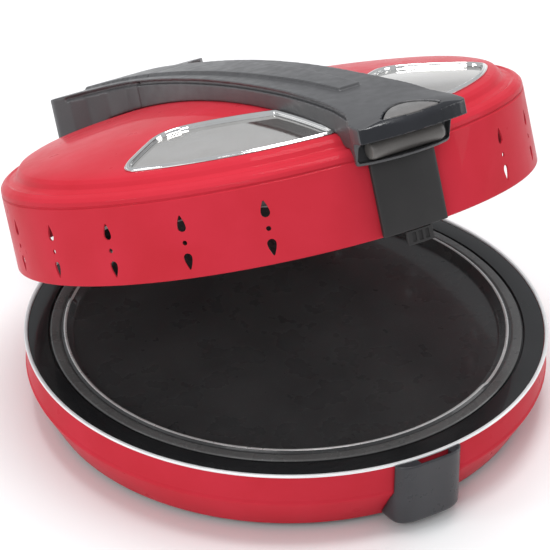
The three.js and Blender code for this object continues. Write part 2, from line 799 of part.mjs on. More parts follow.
// Steel screw from inside the lid: head under the dome, shank up into a handle boss.
function lidScrew([x, y], top) {
  const seat = domeAt(Math.hypot(x, y) + 5) - SHEET - 3 * GAP;
  return post([x, y], 4, seat - 2, seat).add(post([x, y], 2, seat - 1, top, 8));
}

// ---------- rear cover ----------
const COVER = { half: 62, rear: 224, barrelHalf: 46, barrelR: 20, wingLow: 12 };

function coverPlan() {
  const { half, rear } = COVER;
  const right = [
    [26, HANDLE_REAR_Y + GAP / 2],
    [27.5, 138],
    [33, 156],
    [44, 170],
    [54, 177],
    [60, 184.5],
    [half, 187],
    [half, 192],
    [54, 205],
    [45, 219.5],
    [40, rear],
  ];
  return [...right.toReversed(), ...mirrored(right).toReversed()];
}

function coverSide(drop, low) {
  const { rear } = COVER;
  return [
    [HANDLE_REAR_Y, low],
    [rear - drop, low],
    [rear - drop, archAt(rear) - 9],
    [rear - 2.5 - drop, archAt(rear) - 3.5 - drop],
    [rear - 9, archAt(rear - 9) - drop],
    [190, archAt(190) - drop],
    [155, archAt(155) - drop],
    [HANDLE_REAR_Y, archAt(HANDLE_REAR_Y) - drop],
  ];
}

function rearCover() {
  const { half, rear, barrelHalf, barrelR, wingLow } = COVER;
  const plan = coverPlan();
  const hood = prism(plan, 0, 110).intersect(sideways(coverSide(0, LID_HINGE_Z + wingLow), -half, half));
  const cavity = prism(offset(plan, -3), 0, 110)
    .intersect(sideways(coverSide(3, LID_HINGE_Z + wingLow + 3), -half, half))
    .intersect(block([-half, half], [HANDLE_REAR_Y + 3, rear], [0, 110]));
  const bosses = allOf(coverScrews.map((at) => post(at, 5, 50, 110)));
  const knuckle = axle([HINGE_Y, LID_HINGE_Z], barrelR, -barrelHalf, barrelHalf, 32);
  const neckTop = LID_HINGE_Z + wingLow + 3;
  const behindHinge = block([-barrelHalf, barrelHalf], [HINGE_Y - barrelR, rear], [LID_HINGE_Z, neckTop]);
  const neck = behindHinge.intersect(prism(plan, 0, 110));
  const boreHole = axle([HINGE_Y, LID_HINGE_Z], PIN_R + GAP, -half, half);
  const screwHoles = coverScrews.map(([x, y]) => post([x, y], 2.3, 50, archAt(y) - 4));
  const lightening = [-1, 1].map((side) => {
    const [near, far] = [side * 4, side * (barrelHalf - 6)];
    const lane = [Math.min(near, far), Math.max(near, far)];
    return block(lane, [HINGE_Y + 7, rear - 3], [LID_HINGE_Z - 4, LID_HINGE_Z + wingLow + 4]);
  });
  const solid = allOf([hood.subtract(cavity.subtract(bosses)), knuckle, neck]);
  return without(solid, [lidSpace(GAP), boreHole, ...screwHoles, ...lightening]);
}

const lidLeads = () =>
  tube(
    [
      [0, 122, 69.5],
      [0, 140, 65.5],
      [0, 160, 60],
      [0, 171, 53],
      [0, 175.2, 45],
      [0, 176, 40],
      [0, 182, 38],
      [0, 194, 36],
    ],
    1.8,
    20,
  );

// ---------- assembly ----------
place(oven, "base_shell", baseShell(), RED);
place(oven, "bottom_cover", bottomCover(), BLACK);
for (const [name, at] of footPlaces) {
  place(oven, `foot_${name}`, foot(at), RUBBER);
  place(oven, `foot_screw_${name}`, footScrew(at), STEEL);
}
place(oven, "trim_ring", trimRing(), SILVER);
place(oven, "heater_well", heaterWell(), ENAMEL);
place(oven, "lower_reflector", lowerReflector(), REFLECTOR);
place(oven, "lower_element", elementTube(LOWER_ELEMENT_R, LOWER_ELEMENT_Z, 12), ELEMENT);
place(oven, "thermostat", thermostat(), CERAMIC);
place(oven, "junction_block", junctionBlock(), CERAMIC);
place(oven, "base_leads", baseLeads(), SLEEVE);
place(oven, "front_bracket", frontBracket(), BLACK);
place(oven, "hinge_housing", hingeHousing(), BLACK);
place(oven, "hinge_pin", hingePin(), STEEL);
place(oven, "cord_gland", cordGland(), RUBBER);
place(oven, "pizza_pan", pizzaPan(), NON_STICK);

place(lid, "lid_shell", lidShell(), RED);
place(lid, "lid_liner", lidLiner(), REFLECTOR);
place(lid, "upper_element", elementTube(UPPER_ELEMENT_R, UPPER_ELEMENT_Z, 71), ELEMENT);
for (const [name, outline] of windows) {
  place(lid, `window_bezel_${name}`, windowBezel(outline), CHROME);
  place(lid, `window_pane_${name}`, windowPane(outline), GLASS);
  place(lid, `window_retainer_${name}`, windowRetainer(outline), STEEL);
}
for (const [name, side] of terminalSides) {
  const lowerBush = bush(lowerTerminal(side), 18, 28, [19, 22]);
  const upperBush = bush(upperTerminal(side), 59.2, 68.5, [59.2, 61.2]);
  place(oven, `lower_bush_${name}`, lowerBush, CERAMIC);
  place(lid, `upper_bush_${name}`, upperBush, CERAMIC);
}
for (const [name, degrees] of clipPlaces) {
  const lowerClip = elementClip(LOWER_ELEMENT_R, LOWER_ELEMENT_Z, 26.6, 43.6, degrees);
  const upperClip = elementClip(UPPER_ELEMENT_R, UPPER_ELEMENT_Z, 44.4, 61.3, degrees);
  place(oven, `lower_clip_${name}`, lowerClip, STEEL);
  place(lid, `upper_clip_${name}`, upperClip, STEEL);
}
place(lid, "handle", handleBody(), BLACK);
place(lid, "grip_bar", gripBar(), BLACK);
place(lid, "indicator_lens", indicatorLens(), LENS);
place(lid, "indicator_lamp", indicatorLamp(), CERAMIC);
place(lid, "front_strap", frontStrap(), BLACK);
place(lid, "locating_tab", locatingTab(), BLACK);
place(lid, "rear_cover", rearCover(), BLACK);
place(lid, "lid_leads", lidLeads(), SLEEVE);
for (const [kind, places] of [["handle", handleScrews], ["cover", coverScrews]]) {
  places.forEach((at, i) => {
    place(lid, `${kind}_screw_${i + 1}`, lidScrew(at, archAt(at[1]) - 4.5), STEEL);
  });
}

export default root;
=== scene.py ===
"""Looks of the countertop pizza oven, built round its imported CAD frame.

Shapes are drawn in millimetres in one of two spaces: the base's, with its round axis at x = y = 0 and the
worktop at z = 0, and the lid's, on the same axis with z = 0 at the lid's lower edge. place() puts them in
the row frame, in metres.
"""
import json
from math import acos, asin, atan2, copysign, cos, degrees, dist, hypot, pi, radians, sin, sqrt, tan

import bmesh
import bpy
from mathutils import Matrix, Vector


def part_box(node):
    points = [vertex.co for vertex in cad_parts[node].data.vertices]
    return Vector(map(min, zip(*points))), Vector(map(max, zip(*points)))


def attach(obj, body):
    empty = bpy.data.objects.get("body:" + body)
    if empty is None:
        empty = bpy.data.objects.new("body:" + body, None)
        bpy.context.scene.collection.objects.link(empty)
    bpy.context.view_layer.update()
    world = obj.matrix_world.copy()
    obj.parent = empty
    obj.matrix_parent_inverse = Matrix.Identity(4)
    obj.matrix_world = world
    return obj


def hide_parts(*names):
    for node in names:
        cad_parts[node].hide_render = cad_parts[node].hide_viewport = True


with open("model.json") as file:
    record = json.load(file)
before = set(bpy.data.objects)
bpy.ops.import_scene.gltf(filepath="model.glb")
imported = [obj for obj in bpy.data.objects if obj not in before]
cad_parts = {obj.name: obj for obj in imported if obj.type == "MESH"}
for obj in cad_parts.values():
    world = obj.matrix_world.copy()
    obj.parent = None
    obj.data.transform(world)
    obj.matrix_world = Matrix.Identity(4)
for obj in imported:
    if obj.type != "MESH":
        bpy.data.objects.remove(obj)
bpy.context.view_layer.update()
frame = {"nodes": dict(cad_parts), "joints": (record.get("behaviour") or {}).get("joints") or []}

# ---------- spaces ----------
MM = 0.001
LID_EDGE = 54.1  # height of the closed lid's lower edge
ring_low, ring_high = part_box("trim_ring")
AXIS_Y = (ring_low.y + ring_high.y) / 2
hinge = next(joint for joint in frame["joints"] if joint["name"] == "lid_hinge")
HINGE = Vector(hinge["pos_m"])
OPENING = Matrix.Rotation(radians(hinge["range_deg"][0]), 4, "X")
BASE_SPACE = Matrix.Translation((0, AXIS_Y, 0)) @ Matrix.Scale(MM, 4)
CLOSED_LID = Matrix.Translation((0, AXIS_Y, LID_EDGE * MM)) @ Matrix.Scale(MM, 4)
LID_SPACE = Matrix.Translation(HINGE) @ OPENING @ Matrix.Translation(-HINGE) @ CLOSED_LID
HINGE_Y = 200
LID_HINGE_Z = 9.4  # the hinge axis above the lid's lower edge

# ---------- dimensions shared by several pieces ----------
GAP = 0.3
SHEET = 1.2
FINE = 288  # sides of the large turned pieces
BASE_R = 180
LID_R = 179
DOME_R = 160
DOME_TOP = 83
DOME_FALL = 15 / 158**2
ARCH_TOP = 98
NOSE_Y = -209.5  # foremost point of the handle
FASCIA_LOW = 65.3  # lower edge of the handle's front face
HANDLE_LOW = 49.3
SPLIT_Y = 120  # joint between the handle and the rear cover
SEAM = 0.15  # half the gap at that joint
WALL = 3  # thickness of the plastic mouldings
BEVEL_SLOPE = 0.54  # how fast the base's lower wall spreads with height
BASE_HINGE_Z = 63.5  # the hinge axis above the worktop
PIN_HOLE_R = 3.3
FOOT_CIRCLE = 138
FOOT_HOLE_R = 2.3
LOWER_ELEMENT = {"radius": 112, "height": 38}
UPPER_ELEMENT = {"radius": 118, "height": 50}
TERMINAL_X = 12  # half the distance between a heating tube's two ends
TUBE_R = 3.3
BUSH_HOLE_R = 5.9
THUMB_LIPS = (-51, 129)  # directions of the pan's two flattened rims, in degrees
WINDOW_R = 155  # outer edge of the windows
GLAND_AT = (36, 19)  # x and height


def dome(x, y=0.0):
    return DOME_TOP - DOME_FALL * (x * x + y * y)


def arch(y):
    return ARCH_TOP - 0.000375 * (y - 20) ** 2


# ---------- outlines ----------
def arc(radius, start, end, steps, centre=(0, 0)):
    angles = [radians(start + (end - start) * i / steps) for i in range(steps + 1)]
    return [(centre[0] + radius * cos(a), centre[1] + radius * sin(a)) for a in angles]


def rounded(points, radius=1.0, steps=4):
    """A closed outline with its corners rounded off.

    A third number in a point is that corner's own radius.
    """
    line = []
    for i, point in enumerate(points):
        here = Vector(point[:2])
        before = Vector(points[i - 1][:2]) - here
        after = Vector(points[(i + 1) % len(points)][:2]) - here
        r = point[2] if len(point) > 2 else radius
        angle = before.angle(after, pi)
        if r <= 0 or angle > radians(179.5):
            line.append(tuple(here))
            continue
        reach = min(r / tan(angle / 2), before.length * 0.45, after.length * 0.45)
        start, end = here + before.normalized() * reach, here + after.normalized() * reach
        for k in range(steps + 1):
            t = k / steps
            line.append(tuple(start * (1 - t) ** 2 + here * 2 * t * (1 - t) + end * t * t))
    return line


def area(outline):
    pairs = zip(outline, outline[1:] + outline[:1])
    return sum(a[0] * b[1] - b[0] * a[1] for a, b in pairs) / 2


def offset(outline, distance):
    """The outline moved outwards, or inwards by a negative distance, with the same number of points."""
    turn = copysign(1, area(outline))
    moved = []
    for i, (x, y) in enumerate(outline):
        (px, py), (nx, ny) = outline[i - 1], outline[(i + 1) % len(outline)]
        before = Vector((y - py, px - x)).normalized()
        after = Vector((ny - y, x - nx)).normalized()
        middle = (before + after).normalized()
        reach = turn * distance / max(0.5, middle.dot(before))
        moved.append((x + middle.x * reach, y + middle.y * reach))
    return moved


def densified(outline, counts):
    """Each side of a closed outline cut into that many lengths."""
    line = []
    for i, (x, y) in enumerate(outline):
        nx, ny = outline[(i + 1) % len(outline)]
        line += [(x + (nx - x) * k / counts[i], y + (ny - y) * k / counts[i]) for k in range(counts[i])]
    return line


def side_counts(outline, step):
    ends = zip(outline, outline[1:] + outline[:1])
    return [max(1, round(dist(a, b) / step)) for a, b in ends]


def mirrored(outline):
    return [(-p[0], *p[1:]) for p in reversed(outline)]


# ---------- meshes ----------
def mesh_of(points, faces):
    mesh = bpy.data.meshes.new("work")
    mesh.from_pydata([tuple(p) for p in points], [], faces)
    return cleaned(mesh)


def cleaned(mesh):
    """The mesh with doubled points merged and its faces turned outwards."""
    bm = bmesh.new()
    bm.from_mesh(mesh)
    bmesh.ops.remove_doubles(bm, verts=bm.verts, dist=1e-4)
    bmesh.ops.dissolve_degenerate(bm, edges=bm.edges, dist=1e-5)
    bmesh.ops.recalc_face_normals(bm, faces=bm.faces)
    bm.to_mesh(mesh)
    bm.free()
    return mesh


def loft(rings, capped=True):
    """Rings of points joined in order, with flat ends, or with the last joined to the first."""
    n = len(rings[0])
    points = [p for ring in rings for p in ring]
    faces = []
    for i in range(len(rings) - (1 if capped else 0)):
        j = (i + 1) % len(rings)
        faces += [(i * n + k, i * n + (k + 1) % n, j * n + (k + 1) % n, j * n + k) for k in range(n)]
    if capped:
        faces += [tuple(range(n))[::-1], tuple(range(len(points) - n, len(points)))]
    return mesh_of(points, faces)


def lathe(profile, sides=FINE):
    """A profile of (radius, height) turned about Z. It is closed unless both its ends are on the axis."""
    spokes = [(cos(2 * pi * i / sides), sin(2 * pi * i / sides)) for i in range(sides)]
    rings = [[(r * c, r * s, z) for c, s in spokes] for r, z in profile]
    if profile[0][0] > 0 or profile[-1][0] > 0:
        return loft(rings, capped=False)
    n = sides
    points = [p for ring in rings for p in ring]
    faces = [
        (i * n + k, i * n + (k + 1) % n, (i + 1) * n + (k + 1) % n, (i + 1) * n + k)
        for i in range(len(rings) - 1)
        for k in range(n)
    ]
    return mesh_of(points, faces)


TURN = {
    "Z": lambda a, b, c: (a, b, c),  # outline in x, y
    "X": lambda a, b, c: (c, a, b),  # outline in y, z
    "Y": lambda a, b, c: (a, c, b),  # outline in x, z
}


def prism(outline, low, high, axis="Z", edge=0.0):
    """An outline carried along an axis. edge rounds its two rims."""
    put = TURN[axis]
    if not edge:
        levels = [(0, low), (0, high)]
    else:
        sweep = [(edge * (1 - sin(a)), edge * (1 - cos(a))) for a in (0, pi / 8, pi / 4, 3 * pi / 8, pi / 2)]
        levels = [(-inset, low + rise) for inset, rise in sweep]
        levels += [(-inset, high - rise) for inset, rise in reversed(sweep)]
    flat = [tuple(p[:2]) for p in outline]
    rings = []
    for grow, level in levels:
        ring = offset(flat, grow) if grow else flat
        rings.append([put(a, b, level) for a, b in ring])
    return loft(rings)


def box(x, y, z, edge=0.0):
    return prism([(x[0], y[0]), (x[1], y[0]), (x[1], y[1]), (x[0], y[1])], *z, edge=edge)


def rod(centre, radius, low, high, axis="Z", sides=48, edge=0.0):
    return prism(arc(radius, 0, 360 - 360 / sides, sides - 1, centre), low, high, axis, edge)


def sector(profile, start, end, steps=40, edge=0.6):
    """A closed profile of (radius, height) swept between two angles in degrees, with softened ends."""
    run = edge / (radians(end - start) * profile[0][0])  # the share of the sweep that each soft end takes
    shares = [0, 0.35 * run, run, *[i / steps for i in range(3, steps - 2)], 1 - run, 1 - 0.35 * run, 1]
    insets = [edge, edge * 0.3, *[0] * (steps - 3), edge * 0.3, edge]
    rings = []
    for share, inset in zip(shares, insets):
        a = radians(start + (end - start) * share)
        line = offset(profile, -inset) if inset else profile
        rings.append([(r * cos(a), r * sin(a), z) for r, z in line])
    return loft(rings)


def tube(path, radius, sides=16):
    """A round bar along a path of points."""
    rings = []
    up = Vector((0.13, 0.31, 0.94)).normalized()
    points = [Vector(p) for p in path]
    for i, p in enumerate(points):
        along = (points[min(i + 1, len(points) - 1)] - points[max(i - 1, 0)]).normalized()
        across = along.cross(up).normalized()
        up = across.cross(along).normalized()
        angles = [2 * pi * k / sides for k in range(sides)]
        rings.append([tuple(p + across * radius * cos(a) + up * radius * sin(a)) for a in angles])
    return loft(rings)


def smooth_path(points, per_side=8):
    """A Catmull-Rom curve through points."""
    ends = [Vector(p) for p in points]
    path = []
    for i in range(len(ends) - 1):
        p0, p1, p2, p3 = ends[max(i - 1, 0)], ends[i], ends[i + 1], ends[min(i + 2, len(ends) - 1)]
        for k in range(per_side):
            t = k / per_side
            path.append(
                0.5 * (2 * p1 + (p2 - p0) * t + (2 * p0 - 5 * p1 + 4 * p2 - p3) * t**2
                       + (3 * p1 - p0 - 3 * p2 + p3) * t**3)
            )
    return path + [ends[-1]]


def modified(mesh, kind, **settings):
    """The mesh with one modifier applied."""
    work = bpy.data.objects.new("work", mesh)
    bpy.context.scene.collection.objects.link(work)
    modifier = work.modifiers.new(kind, kind)
    for key, value in settings.items():
        setattr(modifier, key, value)
    result = bpy.data.meshes.new_from_object(work.evaluated_get(bpy.context.evaluated_depsgraph_get()))
    bpy.data.objects.remove(work)
    return result


def boolean(mesh, other, operation):
    tool = bpy.data.objects.new("tool", other)
    bpy.context.scene.collection.objects.link(tool)
    result = modified(mesh, "BOOLEAN", object=tool, operation=operation, solver="EXACT")
    bpy.data.objects.remove(tool)
    return result


def cut(mesh, *cutters):
    for cutter in cutters:
        mesh = boolean(mesh, cutter, "DIFFERENCE")
    return mesh


def common(mesh, other):
    return boolean(mesh, other, "INTERSECT")


def together(*meshes):
    """Separate meshes as one, without merging their volumes."""
    points, faces = [], []
    for mesh in meshes:
        start = len(points)
        points += [tuple(v.co) for v in mesh.vertices]
        faces += [tuple(start + i for i in face.vertices) for face in mesh.polygons]
    whole = bpy.data.meshes.new("work")
    whole.from_pydata(points, [], faces)
    return whole


def union(mesh, *others):
    for other in others:
        mesh = boolean(mesh, other, "UNION")
    return mesh


def turned(mesh, angle, axis="Z"):
    copy = mesh.copy()
    copy.transform(Matrix.Rotation(radians(angle), 4, axis))
    return copy


def shifted(mesh, x=0.0, y=0.0, z=0.0):
    copy = mesh.copy()
    copy.transform(Matrix.Translation((x, y, z)))
    return copy


def moulded(mesh, voxel=0.8, passes=3):
    """The solid with the softened edges of a moulding."""
    skin = modified(mesh, "REMESH", mode="VOXEL", voxel_size=voxel)
    return modified(skin, "SMOOTH", factor=0.5, iterations=passes)


def place(mesh, name, space, body, material, slot, replaces=None, sharp=38):
    """Makes a piece from a mesh drawn in one of the two spaces, and hides the CAD parts that it stands for.
    """
    mesh.transform(space)
    mesh.name = name
    mesh.shade_smooth()
    mesh.set_sharp_from_angle(angle=radians(sharp))
    mesh.materials.clear()
    mesh.materials.append(material)
    piece = bpy.data.objects.new(f"{name}_look", mesh)
    bpy.context.scene.collection.objects.link(piece)
    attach(piece, body)
    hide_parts(*(replaces or [name]))
    return piece


# ---------- materials ----------
class Graph:
    """A material's node tree, added to one node at a time."""

    def __init__(self, name, **sockets):
        self.material = bpy.data.materials.new(name)
        self.material.use_nodes = True
        self.tree = self.material.node_tree
        self.shader = self.tree.nodes["Principled BSDF"]
        for socket, value in sockets.items():
            self.shader.inputs[socket.replace("_", " ")].default_value = value
        self.where = self.add("TexCoord").outputs["Object"]
        self.bump = None

    def add(self, kind, inputs=None, **settings):
        made = self.tree.nodes.new(f"ShaderNode{kind}")
        for key, value in settings.items():
            setattr(made, key, value)
        for key, value in (inputs or {}).items():
            self.feed(made.inputs[key], value)
        return made

    def feed(self, socket, value):
        if isinstance(value, bpy.types.NodeSocket):
            self.tree.links.new(value, socket)
        else:
            socket.default_value = value

    def noise(self, size, detail=3.0, where=None, rough=0.5):
        """Noise whose features are about size metres across."""
        inputs = {"Vector": where or self.where, "Scale": 1 / size, "Detail": detail, "Roughness": rough}
        return self.add("TexNoise", inputs).outputs["Fac"]

    def ranged(self, value, low, high, start=0.3, end=0.7):
        inputs = {"Value": value, "From Min": start, "From Max": end, "To Min": low, "To Max": high}
        return self.add("MapRange", inputs).outputs["Result"]

    def mixed(self, share, first, second):
        mix = self.add("Mix", data_type="RGBA")
        self.feed(mix.inputs["Factor"], share)
        for socket, colour in (("A", first), ("B", second)):
            found = [s for s in mix.inputs if s.name == socket and s.type == "RGBA"][0]
            self.feed(found, colour if isinstance(colour, bpy.types.NodeSocket) else (*colour, 1))
        return [s for s in mix.outputs if s.type == "RGBA"][0]

    def bumped(self, height, distance, strength=1.0):
        """Adds a height, in metres over its whole range, to the surface's relief."""
        inputs = {"Height": height, "Distance": distance, "Strength": strength}
        if self.bump:
            inputs["Normal"] = self.bump
        self.bump = self.add("Bump", inputs).outputs["Normal"]

    def edges(self, start=0.52, end=0.6):
        """0 on flat and hollow parts and 1 on sharp outer edges."""
        return self.ranged(self.add("NewGeometry").outputs["Pointiness"], 0, 1, start, end)

    def around(self):
        """Distance from the round axis and height, for marks that run round a turned piece."""
        apart = self.add("SeparateXYZ", {"Vector": self.where}).outputs
        y = self.add("Math", {0: apart["Y"], 1: -AXIS_Y}, operation="ADD").outputs[0]
        flat = self.add("CombineXYZ", {"X": apart["X"], "Y": y, "Z": 0.0}).outputs[0]
        radius = self.add("VectorMath", {0: flat}, operation="LENGTH").outputs["Value"]
        return self.add("CombineXYZ", {"X": radius, "Y": 0.0, "Z": apart["Z"]}).outputs[0]

    def done(self, colour=None, roughness=None):
        if colour is not None:
            self.feed(self.shader.inputs["Base Color"], colour)
        if roughness is not None:
            self.feed(self.shader.inputs["Roughness"], roughness)
        if self.bump:
            self.tree.links.new(self.bump, self.shader.inputs["Normal"])
        return self.material


def red_paint():
    """Satin baked enamel on pressed steel: a slight orange peel, cloudy pigment and fine dust in the coat."""
    g = Graph("red_enamel", IOR=1.05, Coat_Weight=0.16, Coat_IOR=1.3, Coat_Roughness=0.05)
    cloud = g.noise(0.045, 4)
    base = g.mixed(g.ranged(cloud, 0, 1), (0.51, 0.026, 0.040), (0.56, 0.032, 0.052))
    fleck = g.ranged(g.noise(0.0006, 1), 0, 0.12, 0.62, 0.8)
    g.bumped(g.noise(0.0025, 2), 0.000010, 0.25)
    return g.done(g.mixed(fleck, base, (0.68, 0.055, 0.085)), g.ranged(g.noise(0.012, 3), 0.27, 0.36))


def enamel(name, dark, light, roughness, peel=0.000025):
    """A baked dark coat, vitreous or non-stick, with faint specks and heat haze."""
    g = Graph(name, Coat_Weight=0.25, Coat_Roughness=0.06, Specular_IOR_Level=0.3)
    base = g.mixed(g.ranged(g.noise(0.05, 4), 0, 1), dark, light)
    speck = g.ranged(g.noise(0.0011, 0), 0, 0.25, 0.68, 0.75)
    g.bumped(g.noise(0.003, 3), peel, 0.6)
    lighter = tuple(c * 2.2 + 0.01 for c in light)
    return g.done(g.mixed(speck, base, lighter), g.ranged(g.noise(0.02, 4), *roughness))


def plastic(name, dark, light, roughness, grain=0.00003, size=0.0007, wear=0.25):
    """Moulded plastic: a fine spark-eroded texture, slight flow marks, and edges polished by handling."""
    g = Graph(name, Specular_IOR_Level=0.45)
    base = g.mixed(g.ranged(g.noise(0.03, 4), 0, 1), dark, light)
    fine = g.ranged(g.noise(size * 1.4, 2), 0, 0.14, 0.55, 0.75)
    paler = tuple(min(1, c * 1.7 + 0.01) for c in light)
    base = g.mixed(fine, base, paler)
    rim = g.add("Math", {0: g.edges(), 1: wear}, operation="MULTIPLY").outputs[0]
    g.bumped(g.noise(size, 2), grain, 0.4)
    return g.done(g.mixed(rim, base, paler), g.ranged(g.noise(0.008, 3), *roughness))


def metal(name, dark, light, roughness, brushed=0.0, metallic=1.0):
    """Bare or plated steel. brushed is the depth of the lines that run round it."""
    g = Graph(name, Metallic=metallic)
    base = g.mixed(g.ranged(g.noise(0.02, 4), 0, 1), dark, light)
    if brushed:
        g.bumped(g.noise(0.00035, 2, g.around()), brushed, 0.5)
    g.bumped(g.noise(0.002, 3), 0.000006, 0.4)
    return g.done(base, g.ranged(g.noise(0.006, 4), *roughness))


def reflector():
    """Aluminised sheet with its crystal pattern, browned by heat in patches."""
    g = Graph("reflector_sheet", Metallic=0.9)
    crystal = g.add("TexVoronoi", {"Vector": g.where, "Scale": 260.0}).outputs["Color"]
    grey = g.add("SeparateXYZ", {"Vector": crystal}).outputs["X"]
    base = g.mixed(grey, (0.36, 0.36, 0.36), (0.52, 0.52, 0.51))
    heat = g.ranged(g.noise(0.05, 5), 0, 0.55, 0.45, 0.75)
    g.bumped(g.noise(0.004, 3), 0.00004, 0.5)
    return g.done(g.mixed(heat, base, (0.25, 0.17, 0.10)), g.ranged(grey, 0.24, 0.42, 0, 1))


def tube_metal():
    """Sheathed heating tube: dark oxide, tinted brown by heat in patches."""
    g = Graph("heating_tube", Metallic=0.75)
    base = g.mixed(g.ranged(g.noise(0.02, 4), 0, 1), (0.045, 0.043, 0.045), (0.13, 0.115, 0.10))
    tint = g.ranged(g.noise(0.035, 2), 0, 0.5, 0.5, 0.7)
    g.bumped(g.noise(0.0009, 3), 0.00003, 0.7)
    return g.done(g.mixed(tint, base, (0.12, 0.075, 0.045)), g.ranged(g.noise(0.003, 3), 0.38, 0.6))


def ceramic():
    g = Graph("ceramic", Subsurface_Weight=0.05)
    base = g.mixed(g.ranged(g.noise(0.004, 4), 0, 1), (0.62, 0.58, 0.50), (0.74, 0.70, 0.62))
    pore = g.ranged(g.noise(0.0006, 1), 0, 0.6, 0.66, 0.75)
    g.bumped(g.noise(0.0008, 3), 0.00005, 0.6)
    return g.done(g.mixed(pore, base, (0.36, 0.32, 0.26)), g.ranged(g.noise(0.002, 3), 0.5, 0.72))


def sleeve():
    """Braided glass-fibre sleeve: two crossing sets of ridges."""
    g = Graph("lead_sleeve", Sheen_Weight=0.2)
    heights = []
    for turn in (0.7, -0.7):
        where = g.add("Mapping", {"Vector": g.where, "Rotation": (0.0, turn, turn)}).outputs[0]
        wave = g.add("TexWave", {"Vector": where, "Scale": 420.0, "Distortion": 0.6}).outputs["Fac"]
        heights.append(wave)
    weave = g.add("Math", {0: heights[0], 1: heights[1]}, operation="MAXIMUM").outputs[0]
    g.bumped(weave, 0.00025, 0.8)
    base = g.mixed(weave, (0.30, 0.26, 0.16), (0.66, 0.60, 0.42))
    return g.done(base, g.ranged(g.noise(0.002, 2), 0.7, 0.9))


def rubber(name):
    g = Graph(name, Specular_IOR_Level=0.3)
    base = g.mixed(g.ranged(g.noise(0.01, 4), 0, 1), (0.010, 0.010, 0.010), (0.024, 0.024, 0.024))
    dust = g.ranged(g.noise(0.004, 5), 0, 0.3, 0.55, 0.8)
    g.bumped(g.noise(0.0007, 3), 0.00006, 0.6)
    return g.done(g.mixed(dust, base, (0.09, 0.085, 0.08)), g.ranged(g.noise(0.003, 3), 0.62, 0.85))


def glass():
    """Toughened window glass with a half-mirror coating, slightly wavy and filmed by steam."""
    g = Graph("window_glass", Metallic=0.8, Transmission_Weight=0.8, IOR=1.5)
    film = g.ranged(g.noise(0.03, 4), 0, 1)
    g.bumped(g.noise(0.03, 1), 0.0002, 0.25)
    base = g.mixed(film, (0.84, 0.81, 0.77), (0.94, 0.92, 0.89))
    return g.done(base, g.ranged(g.noise(0.015, 4), 0.03, 0.09))


def lens():
    """Smoked indicator window in the nose."""
    g = Graph("indicator_lens", Transmission_Weight=0.25, IOR=1.49, Coat_Weight=0.5)
    haze = g.ranged(g.noise(0.01, 3), 0, 1)
    g.bumped(g.noise(0.004, 2), 0.00003, 0.4)
    base = g.mixed(haze, (0.15, 0.145, 0.14), (0.21, 0.20, 0.195))
    return g.done(base, g.ranged(g.noise(0.004, 3), 0.14, 0.26))


RED = red_paint()
DECK = enamel("black_enamel", (0.011, 0.011, 0.012), (0.017, 0.017, 0.018), (0.16, 0.28))
PAN = enamel("non_stick", (0.030, 0.030, 0.031), (0.046, 0.046, 0.047), (0.24, 0.34), 0.000015)
# Pale half-metal for the upward faces of the pan's bead: a painted highlight along the rim's crest.
PAN_RIM_HIGHLIGHT = metal("pan_rim_painted_highlight", (0.62, 0.61, 0.60), (0.72, 0.71, 0.70), (0.26, 0.36), 0.0, 0.5)
# A lighter grey for the flange's upward faces of the black non-stick pan: painted reflection.
PAN_FLANGE_SHEEN = enamel("pan_flange_painted_sheen", (0.085, 0.083, 0.082), (0.115, 0.113, 0.112), (0.24, 0.34), 0.000015)
COVER_PAINT = plastic("black_steel", (0.016, 0.016, 0.017), (0.026, 0.026, 0.027), (0.42, 0.58),
                      grain=0.00005, size=0.0009)
HANDLE = plastic("handle_plastic", (0.055, 0.055, 0.058), (0.067, 0.067, 0.070), (0.30, 0.42))
GRIP = plastic("grip_plastic", (0.120, 0.112, 0.106), (0.145, 0.136, 0.128), (0.30, 0.40))
# Glossier plastic for the nose's front-facing faces; its darker colour is partly a darker front face and
# partly painted shade on the side turned away from the top light.
FRONT_FACE_SHADE = plastic("front_face_painted_shade", (0.010, 0.011, 0.014), (0.015, 0.016, 0.020), (0.16, 0.24))
FASCIA = plastic("bracket_plastic", (0.026, 0.026, 0.030), (0.034, 0.034, 0.039), (0.26, 0.36))
STRAP = plastic("strap_plastic", (0.016, 0.015, 0.015), (0.022, 0.020, 0.020), (0.45, 0.58))
TRIM = metal("trim_metal", (0.82, 0.82, 0.83), (0.90, 0.90, 0.90), (0.38, 0.50), 0.00001, 0.35)
CHROME = metal("bezel_chrome", (0.80, 0.80, 0.79), (0.88, 0.88, 0.87), (0.05, 0.11))
ZINC = metal("plain_steel", (0.42, 0.43, 0.44), (0.58, 0.58, 0.57), (0.28, 0.42))
REFLECTOR = reflector()
ELEMENT = tube_metal()
CERAMIC = ceramic()
SLEEVE = sleeve()
RUBBER = rubber("foot_rubber")
GLASS = glass()
LENS = lens()


def base_piece(mesh, name, material, slot, **more):
    return place(mesh, name, BASE_SPACE, "base", material, slot, **more)


def lid_piece(mesh, name, material, slot, **more):
    return place(mesh, name, LID_SPACE, "lid", material, slot, **more)


# ---------- base ----------
feet = {"front_left": -135, "front_right": -45, "rear_left": 135, "rear_right": 45}
foot_at = {name: (FOOT_CIRCLE * cos(radians(a)), FOOT_CIRCLE * sin(radians(a))) for name, a in feet.items()}
foot_holes = [rod(at, FOOT_HOLE_R, 0, 20) for at in foot_at.values()]

shell = lathe(rounded([
    (166.5, 5, 0.6), (179.4, 28.6, 1.5), (180, 30.4, 0.8), (179.2, 32.4, 1), (179.2, 51.1, 0.4),
    (177.9, 51.1, 0.2), (177.9, 50.4, 0.2), (170, 50.4, 0.3), (170, 48.9, 0.3), (177.4, 48.9, 1),
    (177.4, 30.5, 3), (166, 9.3, 1), (126, 9.3, 0.4), (126, 7.3, 0.4), (165.4, 7.3, 0.8), (164.2, 5, 0.3),
]))
base_lead_hole = rod((0, 32), 6, 160, 190, "Y")
shell = cut(shell, base_lead_hole, *foot_holes)
base_piece(shell, "base_shell", RED, "red_enamel")

